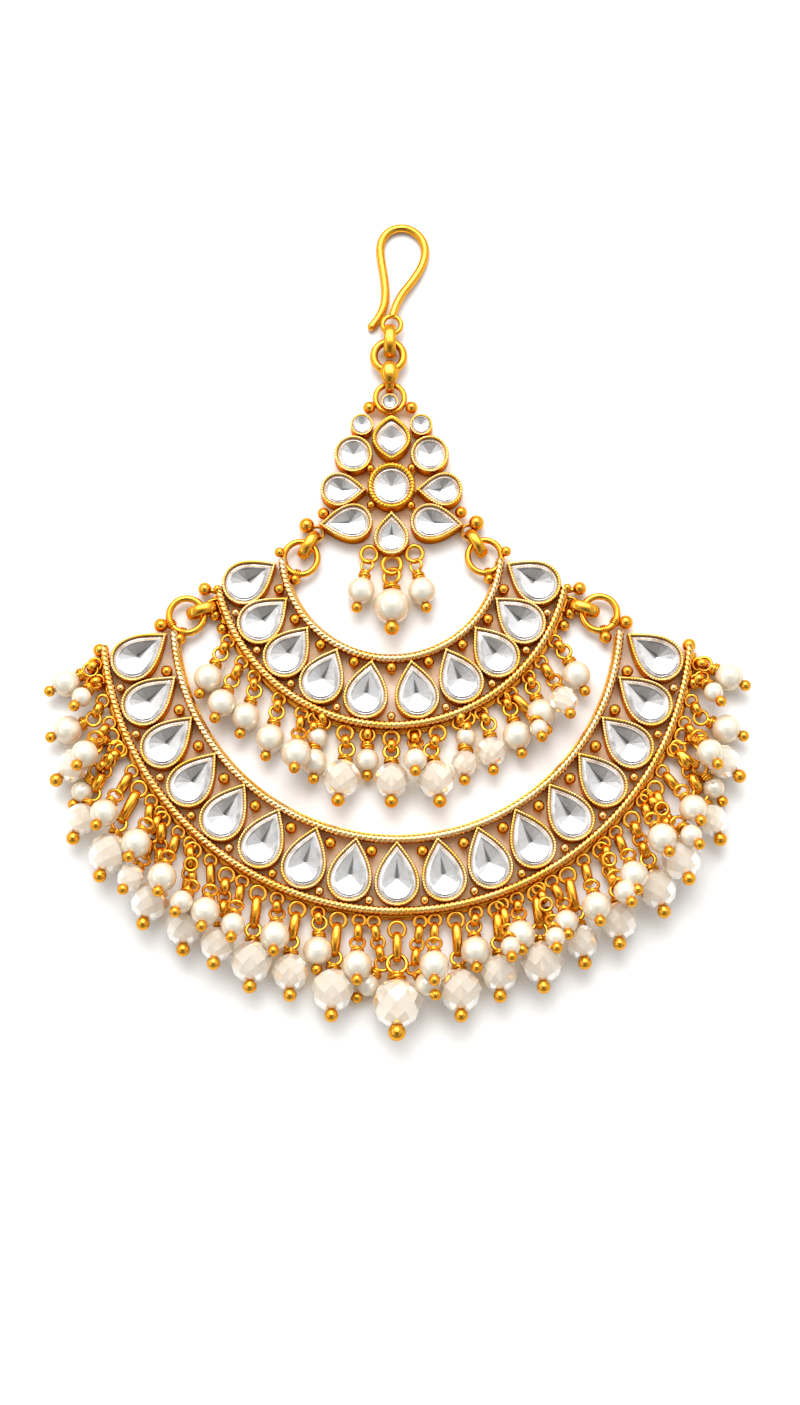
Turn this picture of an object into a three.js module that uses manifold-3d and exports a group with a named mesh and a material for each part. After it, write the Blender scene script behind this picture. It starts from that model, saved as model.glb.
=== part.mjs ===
// Passa headpiece: a hooked crest, two stone-set crescents and their bead fringes.
// Millimetres. The piece lies on its back: +Z is up, +Y points to the hook.
import * as THREE from 'three';
import { mergeVertices } from 'three/addons/utils/BufferGeometryUtils.js';
import Module from 'manifold-3d';

const wasm = await Module();
wasm.setup();

// ---------------------------------------------------------------- driving dimensions

const GAP = 0.3; // running clearance between separate pieces
const WIRE_HEIGHT = 1.6; // height of the flat rings above the back
const CREST_LOOP_HEIGHT = 1.3; // height of the loops under the crest
const LOOP_HEIGHT = 0.95; // height of the fringe's loops above the back

const bezel = { height: 3.1, floor: 1.0, seat: 1.5, wall: 0.5, tipFactor: 1.5, shoulder: 0.42 };
const stoneCut = { bevel: 0.1, girdleBelowRim: 0.7, tableBelowRim: 0.2 };
const rope = { width: 1.3, side: 1.4, height: 2.1 };
const strip = { width: 0.7, height: 1.4, step: 5 };
const link = { wire: 0.6, height: 3.5, base: 0.05 };
const solderLoop = { outer: 1.65, inner: 1.05 };

const crest = { x: -0.87 }; // the crest's axis lies a little left of the lower crescent's

const upper = {
  x: -0.87,
  y: 13.0,
  innerRope: { radius: 17.15, end: 86.5, steps: 16 },
  outerRope: { radius: 27.6, end: 78.5, steps: 20 },
  stone: { width: 7.0, length: 9.5, radius: 23.6 },
  ring: { angle: 87.0, radius: 14.4, outer: 3.15, inner: 2.15 },
};

const lower = {
  x: 0,
  y: 2.3,
  innerRope: { radius: 34.7, end: 87.0, steps: 24 },
  outerRope: { radius: 45.6, end: 84.5, steps: 28 },
  stone: { width: 7.0, length: 10.2, radius: 41.6 },
  ring: { x: 32.2, y: 3.05, outer: 3.3, inner: 2.3 },
};

// Crest settings. x is measured from the crest's axis. turn is the direction of a pear's
// tip on the right-hand side, anticlockwise from +Y, and the left-hand side mirrors it.
const crestMiddleStones = [
  { name: 'crest_stone_top', form: 'round', x: -0.27, y: 37.4, width: 2.5, length: 2.5 },
  { name: 'crest_stone_marquise', form: 'marquise', x: 0, y: 31.5, width: 6.2, length: 8.1 },
  { name: 'crest_stone_centre', form: 'round', x: 0, y: 23.67, width: 7.9, length: 7.9 },
  { name: 'crest_stone_low', form: 'pear', x: 0, y: 15.2, width: 5.5, length: 7.2 },
];
const crestPairedStones = [
  { name: 'crest_stone_small', form: 'round', x: 4.68, y: 33.6, width: 3.65, length: 3.65, turn: 0 },
  { name: 'crest_stone_round', form: 'round', x: 6.07, y: 28.95, width: 6.0, length: 6.0, turn: 0 },
  { name: 'crest_stone_side', form: 'pear', x: 8.4, y: 23.1, width: 5.7, length: 7.5, turn: 90 },
  { name: 'crest_stone_corner', form: 'pear', x: 5.95, y: 17.8, width: 6.0, length: 8.4, turn: -95 },
];

// Crest balls and granules: x from the crest's axis, z of the centre, both sides.
const crestBalls = [
  { x: 3.23, y: 26.58, z: 2.2, radius: 0.78 },
  { x: 3.15, y: 20.56, z: 2.2, radius: 0.78 },
  { x: 10.3, y: 19.05, z: 1.8, radius: 0.95 },
  { x: 13.5, y: 17.8, z: 1.3, radius: 1.24 },
];

const crestPlateHeight = 1.2;

// The backplate behind the crest's settings: half of its outline, from the axis down.
const crestPlate = [
  [0, 34.0],
  [4.5, 34.0],
  [6.6, 29.0],
  [5.6, 26.0],
  [9.2, 23.4],
  [8.6, 20.0],
  [10.6, 18.2],
  [6.2, 16.4],
  [4.3, 14.0],
  [2.6, 13.9],
  [0, 13.4],
];

const crestRing = { x: -0.27, y: 38.25, outer: 2.77, inner: 1.82 };
const crestRingBalls = { x: 3.25, y: -1.75, radius: 1.1 };
const crestEye = { reach: 4.8, outer: 1.45, inner: 1.0, angle: 32.2 };

// Drops under the crest: loop is soldered on, eye and bead belong to the drop.
const sideDrop = {
  loop: [3.55, 12.85],
  eye: [3.87, 11.36],
  bead: [4.79, 6.73],
  radius: 2.2,
  ring: { outer: 1.3, wire: 0.42 },
};
const middleDrop = {
  loop: [0, 11.13],
  eye: [0, 9.54],
  bead: [0.06, 4.09],
  radius: 2.85,
  ring: { outer: 1.6, wire: 0.5 },
};

// Settings along the crescents: degrees from straight down to each stone, right half.
const upperStoneAngles = [9.8, 27.6, 44.6, 60.9, 77.3];
const lowerStoneStep = 10.1;
const lowerStonesPerSide = 8;
const stoneTurn = { upper: 0.0035, lower: 0.0045 }; // how much a tip lags behind its radius
const upperGranules = { angles: [0, 18.5, 36.5, 54, 70.5], radius: 18.3, ball: 0.88 };
const lowerGranules = {
  angles: [5.1, 15.2, 25.3, 35.4, 45.5, 55.6, 65.7, 75.8],
  radius: 35.9,
  ball: 0.93,
};

// Fringe drops, one row for the pair left and right of the middle, in the order in which
// they come to lie. loop, left and right are degrees from straight down, and out is the
// bead's distance from the crescent's centre.
const upperFringe = [
  { loop: 14, left: 12.0, right: 10.8, out: 36.7, radius: 2.95 },
  { loop: 24.2, left: 19.8, right: 18.6, out: 35.4, radius: 2.05 },
  { loop: 7, left: 6.4, right: 6.4, out: 33.25, radius: 1.8 },
  { loop: 28.5, left: 24.6, right: 26.0, out: 35.3, radius: 2.35 },
  { loop: 36.7, left: 32.3, right: 33.7, out: 35.1, radius: 2.28 },
  { loop: 47, left: 40.7, right: 42.1, out: 34.6, radius: 2.23 },
  { loop: 53, left: 47.5, right: 48.5, out: 35.7, radius: 2.2 },
  { loop: 60.8, left: 54.8, right: 55.6, out: 34.85, radius: 2.23 },
];
const upperMiddle = { loop: 0, left: 0, right: 0, out: 36.2, radius: 2.7 };

const lowerFringeInner = [
  { loop: 10.8, left: 9.6, right: 9.3, out: 58.8, radius: 3.3 },
  { loop: 18.5, left: 16.4, right: 15.8, out: 57.6, radius: 2.9 },
  { loop: 26.3, left: 22.5, right: 22.4, out: 58.1, radius: 3.25 },
  { loop: 33, left: 28.4, right: 29.1, out: 57.9, radius: 2.7 },
  { loop: 4.4, left: 4.6, right: 4.6, out: 57.3, radius: 1.85 },
  { loop: 7.6, left: 6.4, right: 6.0, out: 54.5, radius: 2.25 },
  { loop: 14.7, left: 13.1, right: 13.0, out: 53.4, radius: 2.25 },
  { loop: 22.7, left: 20.6, right: 20.9, out: 53.1, radius: 2.25 },
  { loop: 29.9, left: 27.6, right: 28.6, out: 54.2, radius: 1.85 },
];
const lowerFringeOuter = [
  { loop: 40.7, left: 34.0, right: 35.6, out: 58.3, radius: 2.85 },
  { loop: 48.8, left: 40.6, right: 43.0, out: 58.2, radius: 3.05 },
  { loop: 56, left: 50.2, right: 49.2, out: 57.7, radius: 3.15 },
  { loop: 63.6, left: 56.9, right: 56.7, out: 57.9, radius: 2.5 },
  { loop: 67, left: 65.1, right: 65.8, out: 55.2, radius: 2.65 },
  { loop: 37, left: 32.8, right: 34.1, out: 54.5, radius: 2.25 },
  { loop: 45, left: 41.6, right: 42.0, out: 54.3, radius: 2.25 },
  { loop: 52.6, left: 48.6, right: 49.7, out: 53.4, radius: 2.25 },
  { loop: 59.7, left: 55.8, right: 56.7, out: 54.4, radius: 2.15 },
  { loop: 70.4, left: 66.1, right: 66.3, out: 52.7, radius: 2.1 },
  { loop: 74.2, left: 70.9, right: 71.1, out: 53.9, radius: 2.25 },
  { loop: 81.3, left: 78.8, right: 79.8, out: 52.4, radius: 2.25 },
];
const fringeSpans = {
  upperLeft: [-2.2, 63.0],
  upperRight: [4.4, 63.0],
  lowerInner: [2.9, 34.6],
  lowerOuter: [35.3, 83.0],
};
const fringePin = { knuckle: 0.75, pin: 0.4, largeBead: 2.4, largeBall: 1.05, smallBall: 0.87, sides: 6 };
const fringeKnob = { angle: 77.8, out: 0.4, radius: 0.95 };

const centreDrop = {
  loopY: -45.8,
  link: { start: -45.4, length: 5.4, band: 0.9 },
  eye: { y: -51.6, z: 2.15, outer: 1.85, wire: 0.6 },
  beadY: -57.7,
  radius: 3.7,
};
const eyeTilt = 50; // how far a linked eye stands out of the flat, in degrees

// Balls at the ends of the crescents: out is measured from the rope's middle line.
const upperEnds = [
  { angle: 89.5, rope: 'innerRope', out: 0.3, z: 1.6, radius: 0.95, detail: 1 },
  { angle: 79.4, rope: 'outerRope', out: 1.5, z: 1.6, radius: 1.05, detail: 1 },
  { angle: 69.3, rope: 'outerRope', out: 1.2, z: 1.3, radius: 0.9, detail: 0 },
  { angle: 65.6, rope: 'outerRope', out: 1.2, z: 1.3, radius: 0.9, detail: 0 },
];
const lowerEnds = [
  { angle: 88.35, rope: 'innerRope', out: 0.8, z: 1.6, radius: 1.1, detail: 1 },
  { angle: 84.8, rope: 'outerRope', out: 0.7, z: 1.6, radius: 1.05, detail: 1 },
];
const upperRingBall = { x: 0.75, y: -3.5, radius: 0.87 };
const lowerRingBall = { x: 0.95, y: -3.75, radius: 1.0 };
const lowerCollar = { turns: [-32, 0, 32], ball: 0.8, inset: 0.2, joint: 0.35, jointBall: 0.85 };
const staple = { hole: 1.4, halfHole: 0.95, wire: 0.45, low: 1.1, high: 1.6 };
const granuleHeight = 1.5;

// The hook's wire: its middle line from the free end round the loop to its eye.
const hookWire = {
  radius: 0.7,
  height: 0.72,
  eyeHeight: 1.7,
  steps: 26,
  free: [[-4.1, 50.5], [-2.4, 53.2], [-1.9, 56.0], [-2.4, 60.8], [-2.7, 64.0], [-1.6, 66.3]],
  loop: [[0.9, 67.15], [3.4, 65.9], [4.65, 63.4]],
  stem: [[3.9, 60.5], [1.6, 56.9], [-0.2, 54.2], [-0.8, 52.3]],
  eye: { x: -0.84, y: 50.45, outer: 1.85, inner: 1.2 },
};
const hookLink = { x: -1.05, low: 44.9, high: 50.7, band: 1.3 };
const topRing = { x: -1.35, y: 45.17, z: 1.8, outer: 3.05, inner: 1.75 };
const bail = { x: -1.19, low: 39.0, high: 44.5, band: 1.2 };
const bailDome = { width: 3.0, height: 1.5, inset: 0.3, sunk: 0.15 };
const crestLink = { length: 4.95, band: 1.1 };
const sideLink = { length: 5.1, band: 1.2 };

// ---------------------------------------------------------------- materials

const gold = { color: 0xe0a436, roughness: 0.24, metalness: 1.0 };
const glass = { color: 0xdfe2e6, roughness: 0.06, metalness: 0.1 };
const pearl = { color: 0xf6eee2, roughness: 0.3, metalness: 0.0 };
const peachGlass = { color: 0xf0cdb8, roughness: 0.12, metalness: 0.0 };

// ---------------------------------------------------------------- solids

const radians = THREE.MathUtils.degToRad;

// Closes a geometry's seams and hands it to the solid kernel.
function solid(geometry) {
  geometry.deleteAttribute('normal');
  geometry.deleteAttribute('uv');
  const merged = mergeVertices(geometry, 1e-4);
  const mesh = new wasm.Mesh({
    numProp: 3,
    vertProperties: new Float32Array(merged.attributes.position.array),
    triVerts: new Uint32Array(merged.index.array),
  });
  return new wasm.Manifold(mesh);
}

function union(solids) {
  return solids.reduce((whole, piece) => whole.add(piece));
}

function geometryOf(whole) {
  const mesh = whole.getMesh();
  const geometry = new THREE.BufferGeometry();
  geometry.setAttribute('position', new THREE.BufferAttribute(mesh.vertProperties, 3));
  geometry.setIndex(new THREE.BufferAttribute(mesh.triVerts, 1));
  geometry.computeVertexNormals();
  return geometry;
}

// Skins a row of rings with equal point counts and closes both ends with a fan.
function loft(rings) {
  const count = rings[0].length;
  const points = rings.flat();
  const faces = [];
  for (let ring = 0; ring < rings.length - 1; ring += 1) {
    for (let i = 0; i < count; i += 1) {
      const a = ring * count + i;
      const b = ring * count + ((i + 1) % count);
      faces.push(a, b, b + count, a, b + count, a + count);
    }
  }
  const last = (rings.length - 1) * count;
  for (let i = 1; i < count - 1; i += 1) {
    faces.push(0, i + 1, i);
    faces.push(last, last + i, last + i + 1);
  }
  const geometry = new THREE.BufferGeometry();
  const numbers = points.flatMap((point) => point.toArray());
  geometry.setAttribute('position', new THREE.Float32BufferAttribute(numbers, 3));
  geometry.setIndex(facesOutward(points, faces));
  return geometry;
}

function facesOutward(points, faces) {
  let volume = 0;
  for (let i = 0; i < faces.length; i += 3) {
    const [a, b, c] = [points[faces[i]], points[faces[i + 1]], points[faces[i + 2]]];
    volume += a.dot(b.clone().cross(c));
  }
  return volume > 0 ? faces : faces.reverse();
}

function ball(x, y, z, radius, detail = 0) {
  return solid(new THREE.IcosahedronGeometry(radius, detail).translate(x, y, z));
}

// A ring of round wire lying flat, by its outer and inner radius.
function flatRing(x, y, z, outer, inner, steps = 14, sides = 6) {
  const wire = (outer - inner) / 2;
  return solid(new THREE.TorusGeometry(inner + wire, wire, sides, steps).translate(x, y, z));
}

// A point at a distance and an angle from straight down about a crescent's centre.
function polar(crescent, degrees, distance) {
  return new THREE.Vector2(
    crescent.x + distance * Math.sin(radians(degrees)),
    crescent.y - distance * Math.cos(radians(degrees)),
  );
}

// A bar bent round a crescent's centre: profile points are [outwards, up].
function arcBar(crescent, radius, from, to, steps, profile) {
  const rings = [];
  for (let step = 0; step <= steps; step += 1) {
    const angle = from + ((to - from) * step) / steps;
    rings.push(profile.map(([out, up]) => {
      const place = polar(crescent, angle, radius + out);
      return new THREE.Vector3(place.x, place.y, up);
    }));
  }
  return solid(loft(rings));
}

const ropeProfile = [
  [-rope.width / 2, 0],
  [rope.width / 2, 0],
  [rope.width / 2, rope.side],
  [0, rope.height],
  [-rope.width / 2, rope.side],
];
const stripProfile = [[0, 0], [strip.width, 0], [strip.width, strip.height], [0, strip.height]];

// ---------------------------------------------------------------- bezels and stones

const ROUND_STEPS = 8;

function roundOutline(width) {
  return Array.from({ length: ROUND_STEPS }, (_, i) => {
    const angle = (2 * Math.PI * i) / ROUND_STEPS;
    return new THREE.Vector2(Math.cos(angle), Math.sin(angle)).multiplyScalar(width / 2);
  });
}

// A pear with its tip on +Y and the centre of its round end at the origin.
function pearOutline(width, length) {
  const radius = width / 2;
  const tip = length - radius;
  const side = new THREE.QuadraticBezierCurve(
    new THREE.Vector2(0, tip),
    new THREE.Vector2(-radius, tip * bezel.shoulder),
    new THREE.Vector2(-radius, 0),
  ).getPoints(2);
  const arc = [1, 2, 3].map((i) => {
    const angle = Math.PI + (Math.PI * i) / 4;
    return new THREE.Vector2(radius * Math.cos(angle), radius * Math.sin(angle));
  });
  const mirrored = side.slice(1).reverse().map((p) => new THREE.Vector2(-p.x, p.y));
  return [...side, ...arc, ...mirrored];
}

function marquiseOutline(width, length) {
  const side = new THREE.QuadraticBezierCurve(
    new THREE.Vector2(0, length / 2),
    new THREE.Vector2(-width, 0),
    new THREE.Vector2(0, -length / 2),
  ).getPoints(4);
  const mirrored = side.slice(1, -1).reverse().map((p) => new THREE.Vector2(-p.x, p.y));
  return [...side, ...mirrored];
}

// The outline of a setting, moved inwards by an even distance.
function outlineOf(setting, inset) {
  const width = setting.width - 2 * inset;
  if (setting.form === 'round') {
    return roundOutline(width);
  }
  if (setting.form === 'marquise') {
    return marquiseOutline(width, setting.length - 2 * inset * bezel.tipFactor);
  }
  return pearOutline(width, setting.length - inset * (1 + bezel.tipFactor));
}

function place(outline, setting, z) {
  const centre = new THREE.Vector2(setting.x, setting.y);
  return outline.map((point) => {
    const turned = point.clone().rotateAround(new THREE.Vector2(), radians(setting.turn)).add(centre);
    return new THREE.Vector3(turned.x, turned.y, z);
  });
}

// The wall is thinner on the smallest bezels.
function wallOf(setting) {
  return Math.min(bezel.wall, setting.width * 0.14);
}

// A bezel: a shallow cup whose floor backs the stone.
function cup(setting) {
  const wall = wallOf(setting);
  return solid(loft([
    place(outlineOf(setting, 0), setting, 0),
    place(outlineOf(setting, 0), setting, bezel.height),
    place(outlineOf(setting, wall), setting, bezel.height),
    place(outlineOf(setting, wall), setting, bezel.floor),
  ]));
}

// A flat-backed stone with a bevel round its table, a little clear of its bezel.
function stone(setting) {
  const girdle = wallOf(setting) + GAP * 0.8;
  const table = girdle + setting.width * stoneCut.bevel;
  return loft([
    place(outlineOf(setting, girdle), setting, bezel.seat),
    place(outlineOf(setting, girdle), setting, bezel.height - stoneCut.girdleBelowRim),
    place(outlineOf(setting, table), setting, bezel.height - stoneCut.tableBelowRim),
  ]);
}

function crescentSetting(crescent, name, angle, lag) {
  const at = polar(crescent, angle, crescent.stone.radius);
  const turn = angle - Math.sign(angle) * lag * angle * angle;
  return { name, form: 'pear', x: at.x, y: at.y, ...sizeOf(crescent.stone), turn };
}

function sizeOf({ width, length }) {
  return { width, length };
}

// ---------------------------------------------------------------- links and eyes

function stadium(length, height, steps) {
  const radius = height / 2;
  const straight = length / 2 - radius;
  const shape = new THREE.Shape();
  shape.moveTo(-straight, -radius);
  shape.lineTo(straight, -radius);
  shape.absarc(straight, 0, radius, -Math.PI / 2, Math.PI / 2, false);
  shape.lineTo(-straight, radius);
  shape.absarc(-straight, 0, radius, Math.PI / 2, (3 * Math.PI) / 2, false);
  return shape.getPoints(steps);
}

// An oval link standing on edge: start and the direction give its run in plan.
function standingLink(start, direction, length, band) {
  const shape = new THREE.Shape(stadium(length, link.height, 4));
  shape.holes.push(new THREE.Path(stadium(length - 2 * link.wire, link.height - 2 * link.wire, 4)));
  const geometry = new THREE.ExtrudeGeometry(shape, { depth: band, bevelEnabled: false });
  geometry.translate(length / 2, link.height / 2, -band / 2);
  const along = new THREE.Vector3(direction.x, direction.y, 0).normalize();
  const up = new THREE.Vector3(0, 0, 1);
  geometry.applyMatrix4(new THREE.Matrix4().makeBasis(along, up, along.clone().cross(up)));
  return geometry.translate(start.x, start.y, link.base);
}

// ---------------------------------------------------------------- drops and fringes

// How high a bead comes to rest on the floor or on the beads laid before it.
function restHeight(at, radius, laid) {
  let height = radius;
  for (const other of laid) {
    const reach = radius + other.radius;
    const apart = at.distanceTo(other.at);
    if (apart < reach) {
      height = Math.max(height, other.height + Math.sqrt(reach * reach - apart * apart));
    }
  }
  return height;
}

// A turned shape along a line: each profile row is [distance from the start, radius].
function turned(start, direction, profile, sides) {
  const axis = direction.clone().normalize();
  const across = new THREE.Vector3(0, 0, 1).cross(axis).normalize();
  const above = axis.clone().cross(across);
  return solid(loft(profile.map(([distance, radius]) => Array.from({ length: sides }, (_, i) => {
    const angle = (2 * Math.PI * (i + 0.5)) / sides;
    return start.clone()
      .addScaledVector(axis, distance)
      .addScaledVector(across, radius * Math.cos(angle))
      .addScaledVector(above, radius * Math.sin(angle));
  }))));
}

// A bead on its pin, from the pin's upper end to the ball that closes it.
function beadOnPin(start, centre, radius, { knuckle, pin, endBall, sides }) {
  const reach = start.distanceTo(centre);
  const shoulder = radius * Math.SQRT1_2;
  return turned(start, centre.clone().sub(start), [
    [0, knuckle],
    [knuckle * 1.8, pin],
    [reach - radius * 0.94, pin],
    [reach - shoulder, shoulder],
    [reach, radius],
    [reach + shoulder, shoulder],
    [reach + radius + endBall * 0.1, endBall * 0.6],
    [reach + radius + endBall * 0.8, endBall],
    [reach + radius + endBall * 1.6, endBall * 0.5],
  ], sides);
}

// The inner radius of the strip that carries a fringe, just clear of the crescent's rope.
function stripRadius(crescent) {
  return crescent.outerRope.radius + rope.width / 2 + GAP;
}

// One fringe drop: the knuckle of its loop and eye on the strip, then pin, bead and ball.
function fringeDrop(crescent, side, row, laid) {
  const angle = side * (side < 0 ? row.left : row.right);
  const at = polar(crescent, angle, row.out);
  const height = restHeight(at, row.radius, laid);
  laid.push({ at, radius: row.radius, height });
  const loopAt = polar(crescent, side * row.loop, stripRadius(crescent) + strip.width * 0.75);
  const start = new THREE.Vector3(loopAt.x, loopAt.y, LOOP_HEIGHT);
  const centre = new THREE.Vector3(at.x, at.y, height);
  const endBall = row.radius > fringePin.largeBead ? fringePin.largeBall : fringePin.smallBall;
  return beadOnPin(start, centre, row.radius, { ...fringePin, endBall });
}

// A run of drops on one soldered strip, outside the crescent's rope by the usual gap.
function fringe(crescent, side, rows, [from, to], laid, extras = []) {
  const steps = Math.round((to - from) / strip.step);
  const band = arcBar(crescent, stripRadius(crescent), side * from, side * to, steps, stripProfile);
  const drops = rows.map((row) => fringeDrop(crescent, side, row, laid));
  return union([band, ...drops, ...extras]);
}

// A single drop whose eye is linked with a loop: the eye is tilted out of the flat.
function linkedDrop(eye, centre, radius, { outer, wire }) {
  const axis = centre.clone().sub(eye).normalize();
  const across = new THREE.Vector3(0, 0, 1).cross(axis).normalize();
  const tilted = across.clone().applyAxisAngle(axis, radians(eyeTilt));
  const ring = new THREE.TorusGeometry(outer - wire / 2, wire / 2, 5, 10);
  ring.applyMatrix4(new THREE.Matrix4().makeBasis(axis, tilted, axis.clone().cross(tilted)));
  ring.translate(eye.x, eye.y, eye.z);
  const neck = eye.clone().addScaledVector(axis, outer - wire / 2);
  const wrap = { knuckle: radius * 0.3, pin: radius * 0.26, endBall: radius * 0.4, sides: 8 };
  return solid(ring).add(beadOnPin(neck, centre, radius, wrap));
}

// ---------------------------------------------------------------- the pieces

const SIDES = [[-1, 'left'], [1, 'right']];
const headpiece = new THREE.Group();

function add(name, geometry, finish) {
  const mesh = new THREE.Mesh(geometry, new THREE.MeshStandardMaterial(finish));
  mesh.name = name;
  headpiece.add(mesh);
}

function crestSettings() {
  const middle = crestMiddleStones.map((row) => ({ ...row, x: crest.x + row.x, turn: 0 }));
  const paired = SIDES.flatMap(([side, word]) => crestPairedStones.map((row) => {
    return { ...row, name: `${row.name}_${word}`, x: crest.x + side * row.x, turn: side * row.turn };
  }));
  return [...middle, ...paired];
}

function linkDirection(side) {
  return new THREE.Vector2(0, 1).rotateAround(new THREE.Vector2(), side * radians(crestEye.angle));
}

function crestPlateSolid() {
  const half = crestPlate.map(([x, y]) => new THREE.Vector2(crest.x + x, y));
  const other = crestPlate.slice(1, -1).reverse().map(([x, y]) => new THREE.Vector2(crest.x - x, y));
  const outline = new THREE.Shape([...half, ...other]);
  return solid(new THREE.ExtrudeGeometry(outline, { depth: crestPlateHeight, bevelEnabled: false }));
}

function soldered(x, y, z) {
  return flatRing(x, y, z, solderLoop.outer, solderLoop.inner, 12, 4);
}

function crestFrame(settings) {
  const pieces = [crestPlateSolid(), ...settings.map(cup)];
  const ringX = crest.x + crestRing.x;
  pieces.push(flatRing(ringX, crestRing.y, WIRE_HEIGHT, crestRing.outer, crestRing.inner));
  pieces.push(soldered(crest.x + middleDrop.loop[0], middleDrop.loop[1], CREST_LOOP_HEIGHT));
  for (const [side] of SIDES) {
    for (const { x, y, z, radius } of crestBalls) {
      pieces.push(ball(crest.x + side * x, y, z, radius, radius > 1 ? 1 : 0));
    }
    const { x, y, radius } = crestRingBalls;
    pieces.push(ball(ringX + side * x, crestRing.y + y, WIRE_HEIGHT, radius, 1));
    const eye = upperRingAt(side).addScaledVector(linkDirection(side), crestEye.reach);
    pieces.push(flatRing(eye.x, eye.y, WIRE_HEIGHT, crestEye.outer, crestEye.inner));
    pieces.push(soldered(crest.x + side * sideDrop.loop[0], sideDrop.loop[1], CREST_LOOP_HEIGHT));
  }
  return union(pieces);
}

function crestDrop(side, { eye, bead, radius, ring }) {
  const eyePoint = new THREE.Vector3(crest.x + side * eye[0], eye[1], CREST_LOOP_HEIGHT);
  const centre = new THREE.Vector3(crest.x + side * bead[0], bead[1], radius);
  return linkedDrop(eyePoint, centre, radius, ring);
}

function upperRingAt(side) {
  return polar(upper, side * upper.ring.angle, upper.ring.radius);
}

function lowerRingAt(side) {
  return new THREE.Vector2(upper.x + side * lower.ring.x, lower.ring.y);
}

function granuleRow(crescent, row) {
  return row.angles.flatMap((angle) => (angle === 0 ? [0] : [-angle, angle])).map((angle) => {
    const at = polar(crescent, angle, row.radius);
    return ball(at.x, at.y, granuleHeight, row.ball);
  });
}

function ropes(crescent) {
  return [crescent.innerRope, crescent.outerRope].map(({ radius, end, steps }) => {
    return arcBar(crescent, radius, -end, end, steps, ropeProfile);
  });
}

function endBalls(crescent, side, rows) {
  return rows.map(({ angle, rope: at, out, z, radius, detail }) => {
    const centre = polar(crescent, side * angle, crescent[at].radius + out);
    return ball(centre.x, centre.y, z, radius, detail);
  });
}

function ringWithBall(at, side, { outer, inner }, { x, y, radius }) {
  return [
    flatRing(at.x, at.y, WIRE_HEIGHT, outer, inner),
    ball(at.x + side * x, at.y + y, WIRE_HEIGHT, radius, 1),
  ];
}

function upperCrescent(settings) {
  const pieces = [...ropes(upper), ...settings.map(cup), ...granuleRow(upper, upperGranules)];
  for (const [side] of SIDES) {
    pieces.push(...ringWithBall(upperRingAt(side), side, upper.ring, upperRingBall));
    pieces.push(...endBalls(upper, side, upperEnds));
    pieces.push(sideEye(side));
  }
  return union(pieces);
}

// The squared eye outside the upper crescent's rope that its side link hangs from.
function sideEye(side) {
  const out = lowerRingAt(side).sub(new THREE.Vector2(upper.x, upper.y));
  const angle = THREE.MathUtils.radToDeg(Math.atan2(out.x, -out.y));
  const edge = upper.outerRope.radius + rope.width / 2;
  const turn = (distance) => THREE.MathUtils.radToDeg(distance / edge);
  const { hole, halfHole, wire, low, high } = staple;
  const profile = (from, to) => [[from, low], [to, low], [to, high], [from, high]];
  const arm = (at) => arcBar(upper, edge, at, at + turn(wire), 1, profile(-wire, hole + wire));
  const reach = turn(halfHole + wire / 2);
  return union([
    arm(angle - turn(halfHole + wire)),
    arm(angle + turn(halfHole)),
    arcBar(upper, edge, angle - reach, angle + reach, 2, profile(hole, hole + wire)),
  ]);
}

// The wrapped wire that ties a lower ring to the end of the inner rope.
function ringCollar(side) {
  const ring = lowerRingAt(side);
  const ropeEnd = polar(lower, side * lower.innerRope.end, lower.innerRope.radius);
  const toRope = ropeEnd.sub(ring).normalize();
  const wraps = lowerCollar.turns.map((turn) => {
    const out = toRope.clone().rotateAround(new THREE.Vector2(), radians(turn));
    const at = ring.clone().addScaledVector(out, lower.ring.outer - lowerCollar.inset);
    return ball(at.x, at.y, WIRE_HEIGHT, lowerCollar.ball);
  });
  const joint = ring.clone().addScaledVector(toRope, lower.ring.outer + lowerCollar.joint);
  return [...wraps, ball(joint.x, joint.y, WIRE_HEIGHT, lowerCollar.jointBall)];
}

function lowerCrescent(settings) {
  const pieces = [...ropes(lower), ...settings.map(cup), ...granuleRow(lower, lowerGranules)];
  for (const [side] of SIDES) {
    pieces.push(...ringWithBall(lowerRingAt(side), side, lower.ring, lowerRingBall));
    pieces.push(...endBalls(lower, side, lowerEnds));
    pieces.push(...ringCollar(side));
  }
  const edge = lower.y - lower.outerRope.radius - rope.width / 2;
  pieces.push(ball(lower.x, edge, WIRE_HEIGHT - GAP, staple.halfHole));
  pieces.push(soldered(lower.x, centreDrop.loopY, WIRE_HEIGHT));
  return union(pieces);
}

function hook() {
  const { radius, height, eyeHeight, steps, free, loop, stem, eye } = hookWire;
  const level = [...free, ...loop].map(([x, y]) => new THREE.Vector3(x, y, height));
  const rising = stem.map(([x, y], i) => {
    return new THREE.Vector3(x, y, height + ((eyeHeight - height) * (i + 1)) / stem.length);
  });
  const wire = new THREE.ExtrudeGeometry(new THREE.Shape(roundOutline(2 * radius)), {
    steps,
    bevelEnabled: false,
    extrudePath: new THREE.CatmullRomCurve3([...level, ...rising], false, 'centripetal'),
  });
  return solid(wire).add(flatRing(eye.x, eye.y, eyeHeight, eye.outer, eye.inner));
}

// A link standing along +Y between two heights on the plan.
function uprightLink({ x, low, high, band }) {
  return standingLink(new THREE.Vector2(x, low), new THREE.Vector2(0, 1), high - low, band);
}

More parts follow.
